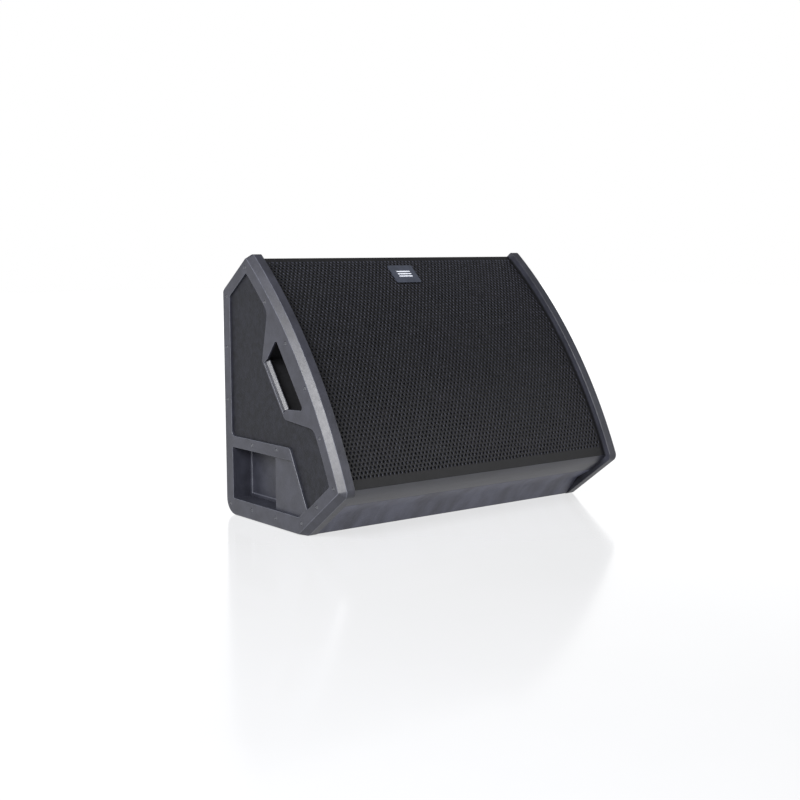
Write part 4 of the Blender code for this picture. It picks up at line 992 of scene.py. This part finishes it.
# --------------------------------------------------------- connector plate ----
# A 3 mm aluminium plate, brushed and anodised black, in the right pocket.  Two
# locking mains sockets and two balanced signal sockets stand over the switch,
# the lights, the level control and the preset button.
plate_black, tree, shader = finish("brushed_anodised_plate", 0.36, Metallic=0.5)
place = add(tree, "ShaderNodeTexCoord").outputs["Object"]
drawn = add(tree, "ShaderNodeMapping", {"Vector": place, "Scale": (1.0, 0.03, 1.0)})
_, tone = mottle(tree, shader, "#222327", "#303136", 0.0010, drawn.outputs["Vector"])
bump = add(tree, "ShaderNodeBump", {"Height": tone, "Distance": 0.00005, "Strength": 0.4})
tree.links.new(bump.outputs["Normal"], shader.inputs["Normal"])
eased("connector_plate", 0.0003, plate_black, steps=2)

socket_nylon, tree, shader = finish("moulded_nylon_black", 0.42)
place, _ = mottle(tree, shader, "#17171a", "#202024", 0.006)
pebble(tree, shader, place, 0.0010, 0.0001, 0.3)
for name in ("mains_inlet", "mains_link"):
    eased(name, 0.0005, socket_nylon, steps=2)
eased("rocker_frame", 0.0003, socket_nylon, steps=2)
eased("preset_button", 0.0004, socket_nylon, "button", steps=2)

die_cast, tree, shader = finish("satin_nickel_die_casting", 0.34, Metallic=1.0)
place, _ = mottle(tree, shader, "#6e7073", "#85878a", 0.005)
pebble(tree, shader, place, 0.0010, 0.00008, 0.4)
for name in ("signal_input", "signal_link"):
    eased(name, 0.0005, die_cast, steps=2)
eased("signal_latch", 0.0004, die_cast, "latch", steps=2)

SOCKET_Y = [0.04001, 0.07239, 0.10476, 0.13714]
UPPER_ROW, LOWER_ROW = 0.097, 0.053
PLATE_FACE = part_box("connector_plate")[1].x
SOCKET_FLOOR = PLATE_FACE + 0.0003 + 0.0025 - 0.014

gold, tree, shader = finish("gold_plated_contact", 0.22, Metallic=1.0)
place, _ = mottle(tree, shader, "#b48a3c", "#c89c4c", 0.002)


def outward_rod(shape, y, z, low, high, radius, tip=0.0004, sides=16):
    """A rod along +X with a rounded tip, added to a bmesh."""
    rings = [[shape.verts.new((x, y + r * math.cos(a), z + r * math.sin(a)))
              for a in (math.tau * i / sides for i in range(sides))]
             for x, r in ((low, radius), (high - tip, radius),
                          (high - tip * 0.3, radius - tip * 0.3), (high, radius - tip))]
    for lower, upper in zip(rings, rings[1:]):
        for i in range(sides):
            j = (i + 1) % sides
            shape.faces.new((lower[i], lower[j], upper[j], upper[i]))
    shape.faces.new(rings[0])
    shape.faces.new(rings[-1])


for name, y in (("signal_link_contacts", SOCKET_Y[3]),):
    shape = bmesh.new()
    for turn in (90, 210, 330):
        a = math.radians(turn)
        outward_rod(shape, y + 0.0045 * math.cos(a), UPPER_ROW + 0.0045 * math.sin(a),
                    SOCKET_FLOOR - 0.001, SOCKET_FLOOR + 0.010, 0.0012)
    solid(name, shape, gold)
for name, y, radius, reach in (("signal_input_core", SOCKET_Y[2], 0.0078, 0.0125),
                               ("mains_inlet_core", SOCKET_Y[0], 0.0062, 0.011),
                               ("mains_link_core", SOCKET_Y[1], 0.0062, 0.011)):
    shape = bmesh.new()
    outward_rod(shape, y, UPPER_ROW, SOCKET_FLOOR - 0.001, SOCKET_FLOOR + reach, radius, 0.0006, 32)
    solid(name, shape, socket_nylon)


# ------------------------------------------------------ knob, rocker, lights ----
# A turned-skirt rubber knob with a white pointer, a glossy rocker, and two
# clear lenses.
soft_touch, tree, shader = finish("soft_touch_rubber", 0.6)
place, _ = mottle(tree, shader, "#1a1a1d", "#242427", 0.004)
pebble(tree, shader, place, 0.0008, 0.00005, 0.3)
shape = bmesh.new()
rings = []
knob_base = PLATE_FACE + 0.0011
for height, radius, flute in ((0.0, 0.0090, 0), (0.0010, 0.0090, 0), (0.0018, 0.0082, 1),
                              (0.0125, 0.0078, 1), (0.0135, 0.0073, 0), (0.0140, 0.0064, 0)):
    ring = []
    for i in range(72):
        reach = radius - (0.0005 if flute and i % 4 < 2 else 0.0)
        a = math.tau * i / 72
        ring.append(shape.verts.new((knob_base + height, SOCKET_Y[2] + reach * math.cos(a),
                                     LOWER_ROW + reach * math.sin(a))))
    rings.append(ring)
for lower, upper in zip(rings, rings[1:]):
    for i in range(72):
        j = (i + 1) % 72
        shape.faces.new((lower[i], lower[j], upper[j], upper[i]))
shape.faces.new(rings[0])
shape.faces.new(rings[-1])
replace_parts(solid("level_knob_made", shape, soft_touch, "knob"), "level_knob")

shape = bmesh.new()
made = bmesh.ops.create_cube(shape, size=1.0, matrix=Matrix.Translation(
    (knob_base + 0.01399, SOCKET_Y[2], LOWER_ROW + 0.0038)) @ Matrix.Diagonal(
    (0.0003, 0.0009, 0.0046, 1.0)))
bmesh.ops.bevel(shape, geom=shape.edges[:], offset=0.0001, segments=2, affect="EDGES")
white_print, tree, shader = finish("white_pad_print", 0.5)
place, _ = mottle(tree, shader, "#d6d6d2", "#e6e6e2", 0.002)
pebble(tree, shader, place, 0.0006, 0.00003)
solid("level_pointer", shape, white_print, "knob")

gloss_black, tree, shader = finish("glossy_polycarbonate_black", 0.18)
place, _ = mottle(tree, shader, "#101012", "#18181b", 0.006)
pebble(tree, shader, place, 0.0020, 0.00003, 0.2)
eased("power_rocker", 0.0003, gloss_black, "rocker", steps=2)

for name, colour, deep in (("power_light", "#2fbf5a", "#1d8a40"),
                           ("limit_light", "#c8342c", "#8d2019")):
    lens, tree, shader = finish("clear_tinted_lens_" + name, 0.12, IOR=1.49,
                                Transmission_Weight=0.35)
    mottle(tree, shader, deep, colour, 0.002)
    dress([name], lens)


# ------------------------------------------------------------------ screws ----
# Black zinc wood screws with a cross recess hold the caps and the rear panel;
# small bright ones hold the sockets.
black_zinc, tree, shader = finish("black_zinc_screw", 0.26, Metallic=1.0)
place, _ = mottle(tree, shader, "#6a6b70", "#83858b", 0.0012)
bright_zinc, tree, shader = finish("bright_zinc_screw", 0.24, Metallic=1.0)
place, _ = mottle(tree, shader, "#9a9ca0", "#b8babd", 0.0012)


def screw_head():
    """A low domed head of unit radius, facing +Z, with a cross recess."""
    shape = bmesh.new()
    rims = [(1.0, -0.32), (1.0, -0.08), (0.86, 0.0)]
    rings = [[shape.verts.new((r * math.cos(a), r * math.sin(a), z))
              for a in (math.tau * i / 16 for i in range(16))] for r, z in rims]
    arm, reach = 0.13, 0.58
    cross = []
    for turn in range(4):
        for x, y in ((arm, reach), (arm, arm), (reach, arm)):
            c, s = (1, 0, -1, 0)[turn], (0, 1, 0, -1)[turn]
            cross.append((x * c + y * s, y * c - x * s))
    top = [shape.verts.new((x, y, 0.0)) for x, y in cross]
    low = [shape.verts.new((x * 0.8, y * 0.8, -0.26)) for x, y in cross]
    for lower, upper in list(zip(rings, rings[1:])) + [(top, low)]:
        for i in range(len(lower)):
            j = (i + 1) % len(lower)
            shape.faces.new((lower[i], lower[j], upper[j], upper[i]))
    fill(shape, [rings[-1], top], (0, 0, 1))
    shape.faces.new(low)
    shape.faces.new(rings[0])
    bmesh.ops.recalc_face_normals(shape, faces=shape.faces)
    mesh = bpy.data.meshes.new("screw_head")
    shape.to_mesh(mesh)
    shape.free()
    return bpy.data.objects.new("screw_head", mesh)


driving, given, result = geometry_tree("driven_screws", [
    ("Head", "NodeSocketObject"), ("Radius", FLOAT), ("Seed", INT),
    ("Plating", "NodeSocketMaterial")])
facing = add(driving, "GeometryNodeInputNamedAttribute", {"Name": "facing"},
             data_type="FLOAT_VECTOR")
aim = add(driving, "FunctionNodeAlignRotationToVector", {"Vector": facing.outputs[0]}, axis="Z")
spin = add(driving, "FunctionNodeRandomValue", {"Seed": given["Seed"]}, data_type="FLOAT")
for socket in spin.inputs:
    if socket.name == "Min" and socket.type == "VALUE":
        socket.default_value = 0.0
    if socket.name == "Max" and socket.type == "VALUE":
        socket.default_value = math.pi / 2
twist = add(driving, "ShaderNodeCombineXYZ", {"Z": spin.outputs[1]})
turn = add(driving, "FunctionNodeRotateRotation", {
    "Rotation": aim.outputs[0],
    "Rotate By": add(driving, "FunctionNodeEulerToRotation", {0: twist.outputs[0]}).outputs[0]},
    rotation_space="LOCAL")
head = add(driving, "GeometryNodeObjectInfo", {"Object": given["Head"]})
scale = add(driving, "ShaderNodeCombineXYZ",
            {"X": given["Radius"], "Y": given["Radius"], "Z": given["Radius"]})
placed = add(driving, "GeometryNodeInstanceOnPoints", {
    "Points": given["Geometry"], "Instance": head.outputs["Geometry"],
    "Rotation": turn.outputs[0], "Scale": scale.outputs[0]})
real = add(driving, "GeometryNodeRealizeInstances", {"Geometry": placed.outputs[0]})
plated = add(driving, "GeometryNodeSetMaterial",
             {"Geometry": real.outputs[0], "Material": given["Plating"]})
driving.links.new(plated.outputs[0], result.inputs[0])

template = screw_head()
bpy.context.scene.collection.objects.link(template)


def screws(name, places, radius, plating, seed):
    """One piece holding all the screws at (point, direction) pairs."""
    mesh = bpy.data.meshes.new(name)
    mesh.from_pydata([point for point, _ in places], [], [])
    aims = mesh.attributes.new("facing", "FLOAT_VECTOR", "POINT")
    for item, (_, direction) in zip(aims.data, places):
        item.vector = direction
    piece = bpy.data.objects.new(name, mesh)
    bpy.context.scene.collection.objects.link(piece)
    grow(piece, driving, {"Head": template, "Radius": radius, "Seed": seed, "Plating": plating})
    bake(piece)
    piece.data.shade_smooth()
    piece.data.set_sharp_from_angle(angle=math.radians(30))
    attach(piece, "cabinet")
    return piece


for side, label in ((-1, "left"), (1, "right")):
    screws("cap_screws_" + label,
           [((side * (HALF_WIDTH - 0.0004), p.x, p.y), (side, 0, 0)) for p in CAP_SCREWS],
           SCREW_HOLE - 0.0004, black_zinc, 11)
rear_low, rear_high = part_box("rear_panel")
rear = [((x, rear_high.y + 0.0009, z), (0, 1, 0)) for x in (-0.265, -0.09, 0.09, 0.265)
        for z in (rear_low.z + 0.010, 0.150, 0.372)]
screws("rear_panel_screws", rear, 0.0036, black_zinc, 12)
head_face = PLATE_FACE + 0.0034
corners = [((head_face, y + dy, UPPER_ROW + dz), (1, 0, 0)) for y in SOCKET_Y
           for dy, dz in ((-0.0098, 0.0122), (0.0098, -0.0122))]
screws("socket_screws", corners, 0.0016, bright_zinc, 13)
bpy.data.objects.remove(template)


# ------------------------------------------------------------ floor, lights ----
# A white glossy table, lit from within, that fades into a white surround; a
# large soft light high on the left, and a weaker one at the front right.
bpy.context.scene.view_settings.view_transform = "Standard"

floor_shape = bmesh.new()
bmesh.ops.create_grid(floor_shape, x_segments=8, y_segments=8, size=12.0)
floor_mesh = bpy.data.meshes.new("floor")
floor_shape.to_mesh(floor_mesh)
floor_shape.free()
floor = bpy.data.objects.new("floor", floor_mesh)
floor.location.z = -0.0004
bpy.context.scene.collection.objects.link(floor)
white_table, tree, shader = finish("white_acrylic_table", 0.13, IOR=1.50,
                                    Emission_Color=linear("#ffffff"),
                                    Emission_Strength=0.68)
mottle(tree, shader, "#66676a", "#696a6d", 0.5)
floor_mesh.materials.append(white_table)

world = bpy.data.worlds.new("white_surround")
bpy.context.scene.world = world
world.use_nodes = True
sky = world.node_tree
height = add(sky, "ShaderNodeSeparateXYZ",
             {0: add(sky, "ShaderNodeTexCoord").outputs["Generated"]}).outputs["Z"]
glow = add(sky, "ShaderNodeMapRange", {0: height, 1: 0.12, 2: 0.40, 3: 0.90, 4: 0.34},
           interpolation_type="SMOOTHSTEP")
seen = add(sky, "ShaderNodeLightPath").outputs["Is Camera Ray"]
strength = add(sky, "ShaderNodeMix", {"Factor": seen, "A": glow.outputs[0], "B": 1.0})
sky.links.new(strength.outputs[0], sky.nodes["Background"].inputs["Strength"])
sky.nodes["Background"].inputs["Color"].default_value = linear("#ffffff")


def soft_light(name, place, aim, size, power):
    data = bpy.data.lights.new(name, "AREA")
    data.shape = "RECTANGLE"
    data.size, data.size_y = size
    data.energy = power
    light = bpy.data.objects.new(name, data)
    light.location = place
    light.rotation_euler = (Vector(aim) - Vector(place)).to_track_quat("-Z", "Y").to_euler()
    bpy.context.scene.collection.objects.link(light)
    return light


soft_light("key_left", (-2.54, -1.20, 1.75), (-0.3, 0.0, 0.22), (1.6, 1.6), 190.0)
soft_light("fill_right", (1.5, -2.1, 1.5), (0.0, 0.0, 0.15), (1.2, 1.2), 14.0)

camera_data = bpy.data.cameras.new("camera")
camera_data.lens = 57.26
camera_data.sensor_width = 36.0
camera = bpy.data.objects.new("camera", camera_data)
camera.location = (-1.4074, -1.7681, 0.4589)
yaw, pitch, roll = math.radians(37.31), math.radians(6.69), math.radians(-0.23)
look = Vector((math.sin(yaw) * math.cos(pitch), math.cos(yaw) * math.cos(pitch), -math.sin(pitch)))
camera.rotation_euler = (look.to_track_quat("-Z", "Y").to_matrix()
                         @ Matrix.Rotation(roll, 3, "Z")).to_euler()
bpy.context.scene.collection.objects.link(camera)
bpy.context.scene.camera = camera
